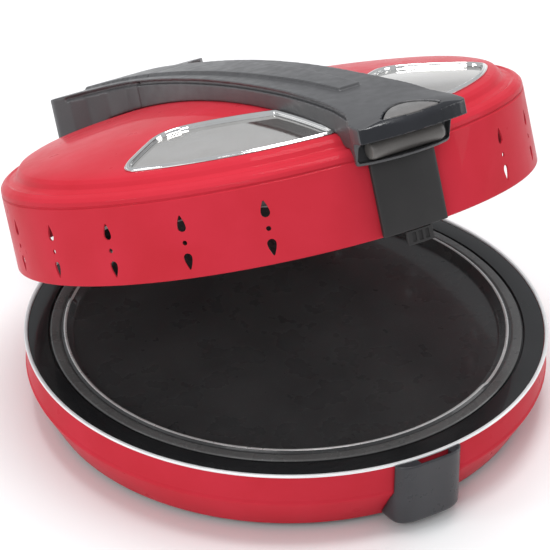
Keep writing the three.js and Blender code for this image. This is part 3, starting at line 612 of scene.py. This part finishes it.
cover_edge = rounded([
    (108, 5, 0.4), (109, 5.7, 0.4), (112, 5.7, 0.4), (113, 5, 0.4), (163.4, 5, 0.5), (163.4, 7, 0.5),
    (112, 7, 0),
])
cover = lathe([(0, 5), *cover_edge[:-1], (0, 7)], 180)
slot_shape = arc(3, -90, 90, 8, (92, 0)) + arc(3, 90, 270, 8, (60, 0))
slots = [turned(prism(slot_shape, 0, 10), 45 * i) for i in range(8)]
cover = cut(cover, together(*slots, *foot_holes))
base_piece(cover, "bottom_cover", COVER_PAINT, "black_steel")

foot_shape = rounded([
    (4.8, 0, 0.4), (7, 0, 0), (7.6, 0.5, 0.2), (8.2, 0, 0), (10, 0, 0.8), (9.6, 4.7, 0.5), (2.3, 4.7, 0),
    (2.3, 2.6, 0), (4.8, 2.6, 0),
])
head_edge = rounded([(2.6, 0.6, 0), (4.2, 1.3, 0.8), (4.2, 2.3, 0.2), (2, 2.3, 0)], 0.3)
screw_head = [(0, 0.6), *head_edge[1:], (2, 13), (0, 13)]
recess = union(box((-1.9, 1.9), (-0.35, 0.35), (0, 1.5)), box((-0.35, 0.35), (-1.9, 1.9), (0, 1.5)))
for name, (x, y) in foot_at.items():
    base_piece(shifted(lathe(foot_shape, 64), x, y), f"foot_{name}", RUBBER, "foot_rubber")
    base_piece(shifted(cut(lathe(screw_head, 48), recess), x, y), f"foot_screw_{name}", ZINC, "plain_steel")

trim = lathe(rounded([
    (177.7, 51.4, 0.2), (180.3, 51.4, 0.3), (180.3, 52.4, 0.6), (179.7, 53, 0.6), (178.3, 53, 0.6),
    (177.7, 52.4, 0.6),
], steps=5))
base_piece(trim, "trim_ring", TRIM, "trim_metal")

well_edge = rounded([
    (150, 25.2, 6), (154.5, 27.5, 5), (156, 50.5, 0.8), (163.3, 50.5, 0.5), (163.9, 51.9, 0.7),
    (177.4, 51.9, 0.4), (177.4, 50.7, 0.2), (165.1, 50.7, 0.5), (164.5, 49.3, 0.5), (157.2, 49.3, 1),
    (155.7, 26.9, 5), (150.6, 24, 6), (120, 24, 0),
])
well = lathe([(0, 25.2), *well_edge[:-1], (0, 24)])


def terminals(radius):
    """Where the two ends of a heating tube of that radius stand."""
    y = sqrt(radius**2 - TERMINAL_X**2)
    return {"left": (-TERMINAL_X, y), "right": (TERMINAL_X, y)}


def bush_holes(ends, low, high):
    """Cutters for the holes that a heating tube's two bushes pass through."""
    return [rod(at, BUSH_HOLE_R, low, high) for at in ends.values()]


lower_ends = terminals(LOWER_ELEMENT["radius"])
upper_ends = terminals(UPPER_ELEMENT["radius"])
base_piece(cut(well, *bush_holes(lower_ends, 10, 40)), "heater_well", DECK, "black_enamel")

dish_edge = rounded([(139, 25.5, 3), (151, 33, 0.2), (150.3, 33.6, 0.2), (138.6, 26.3, 3)])
dish = cut(lathe([(0, 25.5), *dish_edge, (0, 26.3)], 180), *bush_holes(lower_ends, 10, 40))
base_piece(dish, "lower_reflector", REFLECTOR, "reflector_sheet")


def element(radius, height, end_height):
    """The ring-shaped heating tube, with both ends turned off at the rear."""
    step = copysign(1, end_height - height)
    end = degrees(asin(TERMINAL_X / radius))
    y = radius * cos(radians(end))
    stand = [end_height, (end_height + height + step * 11) / 2, height + step * 11, height + step * 7]
    ring = arc(radius, 90 + 2 * end, 450 - 2 * end, 60)
    path = [(-TERMINAL_X, y, z) for z in stand]
    path += [(a, b, height) for a, b in ring]
    path += [(TERMINAL_X, y, z) for z in reversed(stand)]
    return tube(smooth_path(path, 4), TUBE_R, 20)


def bush(low, high, collar):
    """A ceramic sleeve with a wider collar between two heights."""
    under = [(5.6, low), (5.6, collar[0]), (8, collar[0])] if collar[0] > low else [(8, low)]
    line = [(3.9, low), *under, (8, collar[1]), (5.6, collar[1]), (5.6, high), (3.9, high)]
    return lathe(rounded(line, 0.5, 3), 48)


def clip(radius, tube_height, low, high, angle):
    """A radial plate with a hole that holds the tube."""
    inner, outer = radius - 7.5, radius + 7.5
    face = rounded([(inner, low), (outer, low), (outer, high), (inner, high)], 2.5)
    plate = prism(face, -1, 1, "Y", 0.25)
    return turned(cut(plate, rod((radius, tube_height), 3.9, -4, 4, "Y", 32)), angle)


base_piece(element(**LOWER_ELEMENT, end_height=12), "lower_element", ELEMENT, "heating_tube")
lid_piece(element(**UPPER_ELEMENT, end_height=71), "upper_element", ELEMENT, "heating_tube")
for side in ("left", "right"):
    x, y = lower_ends[side]
    base_piece(shifted(bush(18, 28, (19, 22)), x, y), f"lower_bush_{side}", CERAMIC, "ceramic")
    x, y = upper_ends[side]
    lid_piece(shifted(bush(59.2, 68.5, (59.2, 61.2)), x, y), f"upper_bush_{side}", CERAMIC, "ceramic")
for side, angle in {"front": -90, "left": 160, "right": 20}.items():
    lower_clip = clip(*LOWER_ELEMENT.values(), 26.6, 43.6, angle)
    base_piece(lower_clip, f"lower_clip_{side}", ZINC, "plain_steel")
    upper_clip = clip(*UPPER_ELEMENT.values(), 44.4, 61.3, angle)
    lid_piece(upper_clip, f"upper_clip_{side}", ZINC, "plain_steel")

# ---------- pan ----------
FLANGE_TOP = 51.8
LIP_WIDTH = 11.5  # half the width of a thumb lip, in degrees
LIP_RAMP = 3
pan_edge = rounded([
    (147, 47, 3), (150.8, 53.4, 0.8), (152, 54, 0.8), (153.2, 53.4, 0.8), (154.5, 51.8, 0.8),
    (156, 52.4, 0.8), (161.5, 52.4, 0.6), (162.3, 51.6, 0.6), (162.3, 50.8, 0.3), (152, 50.8, 1),
    (148.3, 45.4, 2), (120, 45.4, 0),
])
pan = lathe([(0, 47), *pan_edge[:-1], (0, 45.4)], 360)
for vertex in pan.vertices:
    x, y, z = vertex.co
    turn = min(abs((degrees(atan2(y, x)) - middle + 180) % 360 - 180) for middle in THUMB_LIPS)
    share = max(0.0, min(1.0, (LIP_WIDTH - turn) / LIP_RAMP))
    share = share * share * (3 - 2 * share)
    if z > FLANGE_TOP and hypot(x, y) < 155.4:
        vertex.co.z = z + (FLANGE_TOP - z) * share
rim_highlight_faces, flange_sheen_faces = [], []
for i, face in enumerate(pan.polygons):
    radius = hypot(face.center.x, face.center.y)
    # The crest's upward faces carry the painted highlight.
    if face.normal.z > 0.3 and 151.2 < radius < 152.8:
        rim_highlight_faces.append(i)
    # The flange's upward faces carry the painted reflection, a lighter grey.
    elif face.normal.z > 0.3 and radius > 155.2:
        flange_sheen_faces.append(i)
pan = place(pan, "pizza_pan", BASE_SPACE, "pan", PAN, "non_stick").data
for index, (material, faces) in enumerate(((PAN_RIM_HIGHLIGHT, rim_highlight_faces), (PAN_FLANGE_SHEEN, flange_sheen_faces)), 1):
    pan.materials.append(material)
    for i in faces:
        pan.polygons[i].material_index = index


# ---------- front bracket, hinge housing ----------
def base_space(grow):
    """What the base fills, grown by a clearance, as a cutter."""
    low = 166.5 - 15 * BEVEL_SLOPE
    return lathe([(0, -10), (low + grow, -10), (BASE_R + grow, 30), (BASE_R + grow + 0.3, 60), (0, 60)], 200)


BRACKET_X = -3
BRACKET_HALF = 26.5
BRACKET_REACH = 21.8  # how far it stands out from its middle line
bracket_plan = []
for i in range(49):
    angle = pi * i / 48
    spread = copysign(abs(cos(angle)) ** 0.5, -cos(angle))
    bracket_plan.append((BRACKET_X + BRACKET_HALF * spread, -165 - BRACKET_REACH * sin(angle) ** 0.5))
bracket_plan += [(BRACKET_X + BRACKET_HALF, -150), (BRACKET_X - BRACKET_HALF, -150)]
bracket_levels = [(-3, 6), (-1.9, 6.3), (-0.9, 7.2), (-0.3, 8.4), (0, 9.6), (0, 51.2), (-0.25, 51.7),
                  (-0.8, 52)]
bracket = loft([[(x, y, z) for x, y in offset(bracket_plan, grow)] for grow, z in bracket_levels])
pocket_end = degrees(asin(12 / 185))
pocket = sector([(180.1, 41), (185, 41), (185, 55), (180.1, 55)], -90 - pocket_end, -90 + pocket_end, 12, 0)
bracket = cut(bracket, base_space(GAP), pocket)
base_piece(moulded(bracket, 0.5, 3), "front_bracket", FASCIA, "bracket_plastic", sharp=50)

housing_plan = rounded([
    (-60, 150, 0), (60, 150, 0), (60, 219), (57, 225), (51, 228), (-51, 228), (-57, 225), (-60, 219),
], 3)
housing_side = rounded([(150, 6, 0), (225, 6), (228, 9), (228, 32), (226, 37), (220, 40), (150, 40, 0)], 3)
casing = common(prism(housing_plan, 0, 40), prism(housing_side, -60, 60, "X"))
inner_plan = [(-57, 140), (57, 140), (57, 218), (54.5, 222.7), (50, 225), (-50, 225), (-54.5, 222.7),
              (-57, 218)]
inner_side = [(140, 9), (224, 9), (225, 31), (223.5, 35), (219, 37), (140, 37)]
hollow = common(prism(inner_plan, 9, 37), prism(inner_side, -57, 57, "X"))
ear_top = arc(10, 9, 171, 18, (HINGE_Y, BASE_HINGE_Z))
ear_side = [(184, 30), (210, 30), (210, BASE_HINGE_Z), *ear_top, (190, BASE_HINGE_Z), (184, 55.5)]
ears = [prism(ear_side, *span, "X") for span in ((-60, -48), (48, 60))]
housing = union(cut(casing, hollow), *ears)
louvres = [
    prism(rounded([(x - 1.5, 12), (x + 1.5, 12), (x + 1.5, 30), (x - 1.5, 30)], 1.4), 220, 240, "Y")
    for x in range(-45, 16, 10)
]
gland_hole = rod((GLAND_AT[0], GLAND_AT[1]), 7.8, 215, 235, "Y")
pin_hole = rod((HINGE_Y, BASE_HINGE_Z), PIN_HOLE_R, -58, 58, "X")
housing = cut(housing, base_space(GAP), gland_hole, pin_hole, together(*louvres))
base_piece(moulded(housing, 0.9, 3), "hinge_housing", FASCIA, "bracket_plastic", sharp=50)

gland_line = [(4, 221), (7.5, 221), (7.5, 228.3, 0), (9.5, 228.3), (9.5, 230.5), (5, 230.5), (4, 229)]
gland = lathe(rounded(gland_line, 0.7), 64)
gland.transform(Matrix.Translation((GLAND_AT[0], 0, GLAND_AT[1])) @ Matrix.Rotation(-pi / 2, 4, "X"))
base_piece(gland, "cord_gland", RUBBER, "foot_rubber")

# ---------- lid shell and liner ----------
dome_line = [(r, dome(r)) for r in (DOME_R, 150, 138, 125, 110, 95, 80, 64, 48, 32, 16, 0)]
crown = [(177.9, 0, 0.5), (LID_R, 1, 1), (LID_R, 50.9, 0.5), (177.9, 51.9, 0.7), (178.9, 52.9, 0.6),
         (178.6, 55.5, 2), (176.8, 57.8, 2), (174, 59.5, 1.5), (172, 58.9, 0.6), (169, 59.5, 1.5),
         (167, 61, 2), (165.5, 64, 2), (163.5, 66.3, 1.5)]
inside = [(162, 65, 1), (164.8, 61.5, 1), (169, 58.2, 1), (173.2, 57.9, 1), (176, 56.5, 1), (176.9, 52, 1),
          (177.8, 50, 1), (177.8, 0.9, 0.5)]
outer_line = rounded(crown + [(DOME_R, dome(DOME_R), 0)], 1, 5)[:-1]
inner_line = rounded([(150, dome(150) - SHEET, 0), *inside, (177.6, 0.2, 0)], 1, 3)[1:]
dome_inside = [(r, z - SHEET) for r, z in reversed(dome_line[:-1])][:-1]
lid_shell = lathe([(0, DOME_TOP - SHEET), *dome_inside, *inner_line, *outer_line, *dome_line])


def window_corners():
    """The right-hand window's outline, before its corners are rounded off."""
    def curve(a, control, b, steps=6):
        shares = [i / steps for i in range(1, steps + 1)]
        return [
            tuple(p * (1 - t) ** 2 + q * 2 * t * (1 - t) + r * t * t for p, q, r in zip(a, control, b))
            for t in shares
        ]

    rim = arc(WINDOW_R, -degrees(acos(29 / WINDOW_R)), -30.3, 18)
    outer_bend = curve(rim[-1], (136, -69), (122, -59.5))
    inner_bend = curve((100, -42.5), (87, -32), (73, -43))
    return [(29, -82), *rim, *outer_bend, (100, -42.5), *inner_bend]


# The handle's half widths at distances along y.
HALF_WIDTHS = [(-203.5, 39.5), (-197, 39.5), (-190.5, 38.5), (-186, 35.5), (-177, 31.5), (-160, 29.5),
               (-135, 27.5), (-95, 26), (SPLIT_Y, 26)]


def handle_half(y):
    """Half the handle's width, for what stands beside it."""
    for (y0, w0), (y1, w1) in zip(HALF_WIDTHS, HALF_WIDTHS[1:]):
        if y <= y1:
            return w0 + (w1 - w0) * max(0, (y - y0) / (y1 - y0))
    return HALF_WIDTHS[-1][1]


CORNERS = window_corners()
COUNTS = side_counts(rounded([(*p, 3) for p in CORNERS], steps=3), 2.0)


def window_ring(distance, clear=False):
    """The window's outline moved out by a distance. clear keeps it off the handle."""
    moved = offset(CORNERS, distance)
    line = densified(rounded([(*p, max(0.6, 3 + distance)) for p in moved], steps=3), COUNTS)
    return [(max(x, handle_half(y) + 0.4), y) for x, y in line] if clear else line


def flipped(mesh):
    copy = mesh.copy()
    copy.transform(Matrix.Scale(-1, 4, (1, 0, 0)))
    return cleaned(copy)


def on_dome(distance, lift, clear=False):
    """The window's outline laid on the dome, and lifted off it."""
    return [(x, y, dome(x, y) + lift) for x, y in window_ring(distance, clear)]


def leaf_shape(height, upright=1):
    """A leaf-like slot with its round end at a height and its tip above it, or below it if upright is -1."""
    round_end = arc(2.9, 180, 360, 14)
    line = [*round_end, (2.75, 1.6), (2.3, 3.3), (1.6, 5.2), (0.9, 6.8), (0.35, 7.8)]
    line += [(-x, z) for x, z in reversed(line[15:])]
    return [(x, height + upright * z) for x, z in line][:: upright]


FIRST_VENTS = 29.6  # degrees round from the front
VENT_STEP = 17.3
vents = []
for angle in [FIRST_VENTS + VENT_STEP * i for i in range(7)]:
    for side in (-1, 1):
        for shape in (leaf_shape(33.2), arc(1.6, 0, 345, 23, (0, 23.2)), leaf_shape(13.6, -1)):
            vents.append(turned(prism(shape, -190, -168, "Y"), side * angle))
window_hole = prism(window_ring(0), 55, 95)
lid_lead_hole = rod((0, 38), 5, 160, 190, "Y")
lid_shell = cut(lid_shell, together(*vents), window_hole, flipped(window_hole), lid_lead_hole)
lid_piece(lid_shell, "lid_shell", RED, "red_enamel", sharp=30)

liner_edge = rounded([
    (100, 66, 6), (156, 57, 4), (171, 46.5, 2), (176.6, 46.5, 0.2), (176.6, 47.3, 0.2), (171.3, 47.3, 2),
    (156.3, 57.8, 4), (100, 66.8, 6),
])
liner = lathe([(0, 70.5), (50, 69.5), *liner_edge, (50, 70.3), (0, 71.3)], 200)
liner_hole = prism(window_ring(-4), 40, 90)
lead_notch = box((-3.5, 3.5), (171.5, 180), (40, 60))
liner = cut(liner, liner_hole, flipped(liner_hole), lead_notch, *bush_holes(upper_ends, 40, 90))
lid_piece(liner, "lid_liner", REFLECTOR, "reflector_sheet")

# ---------- windows ----------
# Distances out from the window's edge, with the lift off the dome.
bezel_rings = [
    (3.0, 0.3), (3.05, 0.9), (2.75, 1.1), (2.6, 0.75), (2.4, 0.8), (2.2, 1.5), (1.7, 1.95), (0.9, 2.0),
    (0.3, 1.75), (-0.15, 1.0), (-0.3, 0.0), (-0.5, -0.5), (-1.2, -0.7), (-1.2, -4.2), (-0.3, -4.2),
    (-0.3, 0.3),
]
bezel = loft([on_dome(d, lift, True) for d, lift in bezel_rings], capped=False)
dome_shell = [(r, dome(r)) for r in (0, 20, 40, 60, 80, 95, 110, 120, 130, 140, 150, 158)]
dome_glass = lathe([*[(r, z - 4) for r, z in dome_shell], *[(r, z - 1) for r, z in reversed(dome_shell)]])
pane = common(dome_glass, prism(window_ring(-1.5), 40, 95))
retainer_rings = [(-0.3, -4.5), (-5.6, -4.5), (-5.8, -4.9), (-5.8, -6), (-0.3, -6)]
retainer = loft([on_dome(d, lift) for d, lift in retainer_rings], capped=False)
for side, shape_of in (("right", lambda mesh: mesh.copy()), ("left", flipped)):
    lid_piece(shape_of(bezel), f"window_bezel_{side}", CHROME, "bezel_chrome", sharp=50)
    lid_piece(shape_of(pane), f"window_pane_{side}", GLASS, "window_glass")
    lid_piece(shape_of(retainer), f"window_retainer_{side}", ZINC, "plain_steel")


# ---------- handle and nose ----------
def lid_space(grow):
    """What the lid's shell fills, grown by a clearance, as a cutter."""
    wall = [(LID_R, -12), (LID_R, 53.5), (177, 58.2), (173.7, 59.6), (169.5, 59.6), (166, 62.6),
            (163.2, 66.4)]
    line = [(r + (grow if z < 60 else 0), z + grow) for r, z in [*wall, *dome_line]]
    return lathe([(0, -12), *line], 240)


half_plan = [(26, SPLIT_Y - SEAM, 0), *[(x, y) for y, x in reversed(HALF_WIDTHS[:-1])]]
nose = [(33.5, -205.5, 0), (27, -206.8, 0), (20, -208, 0), (13.5, -208.8, 0), (6.5, -209.3, 0)]
handle_plan = rounded([*half_plan, *nose, (0, NOSE_Y, 0), *mirrored([*half_plan, *nose])], 3)


def handle_side(drop=0.0):
    """The handle's side outline, in y and z, with its top lowered by a drop."""
    top = [(y, arch(y) - drop, 0) for y in range(SPLIT_Y, -191, -10)]
    front = [(-200, 79.8 - drop), (-205, 78.4 - drop), (-209.2, 76.6 - drop, 2.5), (-209.9, FASCIA_LOW, 0.6)]
    under = [(-205, FASCIA_LOW, 0.5), (-205, HANDLE_LOW, 0.5), (SPLIT_Y, HANDLE_LOW, 0)]
    return rounded([*top, *front, *under], 2)


body = common(prism(handle_plan, 40, 110), prism(handle_side(), -60, 60, "X"))
cavity = common(prism(offset(handle_plan, -WALL), 40, 110), prism(handle_side(5), -60, 60, "X"))
cavity = common(cavity, box((-60, 60), (-170, SPLIT_Y - WALL), (40, 110)))
gap_side = [(y, arch(y) - 1.3) for y in range(SPLIT_Y + 10, -181, -10)]
gap_side += [(y, arch(y) - 4.0) for y in range(-180, SPLIT_Y + 11, 10)]
shadow_gap = cut(prism(gap_side, -60, 60, "X"), prism(offset(handle_plan, -1.9), 0, 120))
pocket_face = [(-33.7, 51.1, 2), (33.7, 51.1, 2), (33.7, FASCIA_LOW, 4), (-33.7, FASCIA_LOW, 4)]
grip_pocket = prism(rounded(pocket_face), -215, -183, "Y")


def both_halves(half):
    """A half outline that starts on the middle line, with its mirror image."""
    return [*half, *mirrored(half)[:-1]]


kept_above = [(0, -204), (10, -203.2), (20, -201), (27, -197.8), (33, -194), (36, -189.5), (36, -150)]
kept_below = [(0, -196.2), (10, -195.4), (20, -193.3), (29, -189), (33.5, -184.5), (35.5, -181), (35.5, -150)]
nose_levels = [(kept_above, FASCIA_LOW + 0.01), (kept_below, HANDLE_LOW - 1)]
lower_nose = loft([[(x, y, z) for x, y in both_halves(half)] for half, z in nose_levels])
below_fascia = cut(box((-60, 60), (-215, -175), (40, FASCIA_LOW)), lower_nose)

NOSE_HALF = 39.5
NOSE_FALL = 4  # how far the nose's top drops at its edges


def pillowed(mesh):
    """The mesh with the nose's top falling away towards its sides and front."""
    for vertex in mesh.vertices:
        x, y, z = vertex.co
        reach = max(0.0, min(1.0, (-150 - y) / 40))
        height = max(0.0, min(1.0, (z - FASCIA_LOW - 1) / 7))
        edge = min(1.0, abs(x) / NOSE_HALF) ** 3 + min(1.0, max(0.0, (-180 - y) / 29.5)) ** 6
        vertex.co.z = z - NOSE_FALL * min(1.0, edge) * reach * reach * (3 - 2 * reach) * height
    return mesh


LENS_HALF = 20.5
LENS_Y = -203
lens_line = [(-LENS_HALF + 2 * LENS_HALF * i / 24, LENS_Y - 2 * sin(pi * i / 24)) for i in range(25)]
lens_line += [(LENS_HALF - 2 * LENS_HALF * i / 24, LENS_Y + 13 * sin(pi * i / 24)) for i in range(1, 24)]
lens_seat = prism(offset(lens_line, 1.0), 76.3, 99)
body = cut(body, cavity, shadow_gap, grip_pocket, below_fascia, lens_seat, lid_space(GAP))
half_panel = [(8, -133, 1.5), (9, -90, 0), (11, -50, 0), (13, 0, 0), (14.5, 60, 0), (15, SPLIT_Y - SEAM, 0)]
panel = rounded([*half_panel, *mirrored(half_panel)])
panel_side = [(y, arch(y) - 2) for y in range(SPLIT_Y, -141, -10)]
panel_side += [(y, arch(y) + 2) for y in range(-140, SPLIT_Y + 1, 10)]
body = union(body, common(prism(panel, 60, 110), prism(panel_side, -60, 60, "X")))
body = pillowed(moulded(body, 0.6, 2))
# Faces turned to the front get the darker plastic, partly painted shade.
shaded_front_faces = [
    i for i, face in enumerate(body.polygons)
    if face.normal.y < -0.5 and face.center.y < -196 and face.center.z > FASCIA_LOW - 0.5
]
handle = lid_piece(body, "handle", HANDLE, "handle_plastic", sharp=60)
handle.data.materials.append(FRONT_FACE_SHADE)
for i in shaded_front_faces:
    handle.data.polygons[i].material_index = 1

BAR_AT = (0, -188.6, 57.6)
bar_line = [(0, -26.8, 0), (5.2, -26.8, 0.8), (6.2, -24.3), (6.2, 24.3), (5.2, 26.8, 0.8), (0, 26.8, 0)]
bar = lathe(rounded(bar_line, 3), 64)
bar.transform(Matrix.Translation(BAR_AT) @ Matrix.Rotation(pi / 2, 4, "Y"))
bar = common(bar, box((-30, 30), (-200, -183.3), (50, 65)))
web = box((-25.8, 25.8), (-188, -183.3), (53.1, 62.1), 0.6)
lid_piece(moulded(union(bar, web), 0.5, 3), "grip_bar", GRIP, "handle_plastic", sharp=60)

above_lens = [(-188, arch(-188) - 0.8), (-190, arch(-190) - 0.8), (-200, 79), (-206, 77.6), (-206, 99),
              (-188, 99)]
plate = cut(prism(lens_line, 76.6, 84), prism(above_lens, -60, 60, "X"))
score = prism([(-199.6, 99), (-199.6, 78.6), (-199, 78.7), (-199, 99)], -30, 30, "X")
plate = cut(plate, score)
lid_piece(pillowed(moulded(plate, 0.3, 2)), "indicator_lens", LENS, "indicator_lens", sharp=60)

strap_half = degrees(asin(23.9 / 183.2))
strap_line = rounded([(179.3, 0.6), (183.2, 0.6), (183.2, 48.6), (179.3, 48.6)], 0.9, 3)
strap = sector(strap_line, -90 - strap_half, -90 + strap_half, 60, 0.8)
lid_piece(strap, "front_strap", STRAP, "strap_plastic")

tab = sector([(180.8, -8.6), (183.2, -8.6), (183.2, 0.3), (180.8, 0.3)], -90 - 2.66, -90 + 3.29, 20, 0)
ribs = [box((x, x + 3), (-190, -182.1), (-7, -0.8)) for x in (-5.4, -0.6, 4.2)]
lid_piece(moulded(cut(tab, together(*ribs)), 0.22, 2), "locating_tab", STRAP, "strap_plastic", sharp=60)

# ---------- rear cover ----------
cover_half = [(40, 224), (45, 219.5), (54, 205), (62, 192, 2), (62, 187, 2), (60, 184.5, 2), (54, 177),
              (44, 170), (33, 156), (27.5, 138), (26, SPLIT_Y + SEAM, 0)]
cover_plan = rounded([*cover_half, *mirrored(cover_half)], 4)


def cover_side(drop, low):
    """The rear cover's side outline, in y and z, from a height up to its top lowered by a drop."""
    top = [(y, arch(y) - drop) for y in (215, 200, 180, 160, 140, SPLIT_Y)]
    back = [(224 - drop, low), (224 - drop, arch(224) - 9), (221.5 - drop, arch(224) - 3.5 - drop)]
    return [(SPLIT_Y, low), *back, *top]


hood = common(prism(cover_plan, 0, 110), prism(cover_side(0, 21.4), -62, 62, "X"))
room = common(prism(offset(cover_plan, -WALL), 0, 110), prism(cover_side(4, 24.4), -62, 62, "X"))
room = common(room, box((-60, 60), (SPLIT_Y + WALL, 224), (0, 110)))
gap_line = [(y, arch(y) - 1.3) for y in (180, 170, 160, 150, 140, 130, 110)]
gap_line += [(y, arch(y) - 4.0) for y in (110, 130, 140, 150, 160, 170, 180)]
cover_gap = cut(prism(gap_line, -80, 80, "X"), prism(offset(cover_plan, -1.9), 0, 120))
knuckle = rod((HINGE_Y, LID_HINGE_Z), 20, -46, 46, "X", 96)
neck = common(box((-46, 46), (180, 224), (9.4, 24.4)), prism(cover_plan, 0, 110))
half_cover_panel = [(15, SPLIT_Y + SEAM, 0), (17, 150, 0), (22, 185, 0), (24, 214, 3)]
cover_panel = rounded([*half_cover_panel, *mirrored(half_cover_panel)])
cover_top = [(y, arch(y) - 2) for y in range(SPLIT_Y, 221, 10)]
cover_top += [(y, arch(y) + 2) for y in range(220, SPLIT_Y - 1, -10)]
raised_panel = common(prism(cover_panel, 60, 110), prism(cover_top, -60, 60, "X"))
rear = union(cut(hood, room, cover_gap), knuckle, neck, raised_panel)
rear = cut(rear, lid_space(GAP), rod((HINGE_Y, LID_HINGE_Z), PIN_HOLE_R, -62, 62, "X"))
lid_piece(moulded(rear, 0.9, 3), "rear_cover", HANDLE, "handle_plastic", sharp=60)

# ---------- finishes of the CAD pieces that stay ----------
kept = {
    SLEEVE: ["base_leads", "lid_leads"],
    CERAMIC: ["thermostat", "junction_block", "indicator_lamp"],
    ZINC: [
        "hinge_pin", "handle_screw_1", "handle_screw_2", "handle_screw_3", "cover_screw_1", "cover_screw_2",
    ],
}
for material, names in kept.items():
    for name in names:
        for material_slot in frame["nodes"][name].material_slots:
            material_slot.link = "OBJECT"
            material_slot.material = material

# ---------- floor, light, camera ----------
ground = bpy.data.meshes.new("floor")
ground.from_pydata([(-9, -9, 0), (9, -9, 0), (9, 9, 0), (-9, 9, 0)], [], [(0, 1, 2, 3)])
paper = Graph("floor_paper")
paper.bumped(paper.noise(0.004, 3), 0.00005, 0.2)
tone = paper.mixed(paper.noise(0.4, 2), (0.86, 0.86, 0.86), (0.90, 0.90, 0.90))
ground.materials.append(paper.done(tone, 0.6))
floor = bpy.data.objects.new("floor", ground)
bpy.context.scene.collection.objects.link(floor)


def softbox(name, place_at, aim, size, power):
    """A rectangular area light at a point, aimed at another. Sizes in metres, power in watts."""
    lamp = bpy.data.lights.new(name, "AREA")
    lamp.shape, lamp.size, lamp.size_y, lamp.energy = "RECTANGLE", *size, power
    light = bpy.data.objects.new(name, lamp)
    bpy.context.scene.collection.objects.link(light)
    light.location = place_at
    light.rotation_mode = "QUATERNION"
    light.rotation_quaternion = (Vector(aim) - Vector(place_at)).to_track_quat("-Z", "Y")


softbox("key", (-1.7, -1.5, 1.6), (0, 0, 0.12), (1.0, 1.0), 15)
softbox("side", (2.0, -0.9, 1.0), (0, 0, 0.12), (0.8, 1.5), 9)
softbox("top", (0.1, 0.2, 2.2), (0, 0, 0.1), (1.1, 0.9), 34)
softbox("left", (-2.2, 0.3, 0.8), (0, 0, 0.15), (0.4, 1.0), 9)
world = bpy.data.worlds.new("studio")
world.use_nodes = True
world.node_tree.nodes["Background"].inputs["Color"].default_value = (0.95, 0.97, 1.0, 1)
world.node_tree.nodes["Background"].inputs["Strength"].default_value = 0.55
bpy.context.scene.world = world
bpy.context.scene.view_settings.view_transform = "Standard"

# A long lens, in front of the left side and above.
CAMERA_AT = (-0.90448, -1.47754, 1.17691)
azimuth, elevation, roll = radians(-31.587), radians(32.505), radians(0.352)
back = Vector((sin(azimuth) * cos(elevation), -cos(azimuth) * cos(elevation), sin(elevation)))
level = Vector((cos(azimuth), sin(azimuth), 0))
upward = back.cross(level)
right = level * cos(roll) + upward * sin(roll)
lens_data = bpy.data.cameras.new("camera")
lens_data.lens = 194.09
lens_data.sensor_width = 36
lens_data.shift_x, lens_data.shift_y = 0.01156, 0.00266
camera = bpy.data.objects.new("camera", lens_data)
bpy.context.scene.collection.objects.link(camera)
turn = Matrix((right, back.cross(right), back)).transposed().to_4x4()
camera.matrix_world = Matrix.Translation(CAMERA_AT) @ turn
bpy.context.scene.camera = camera
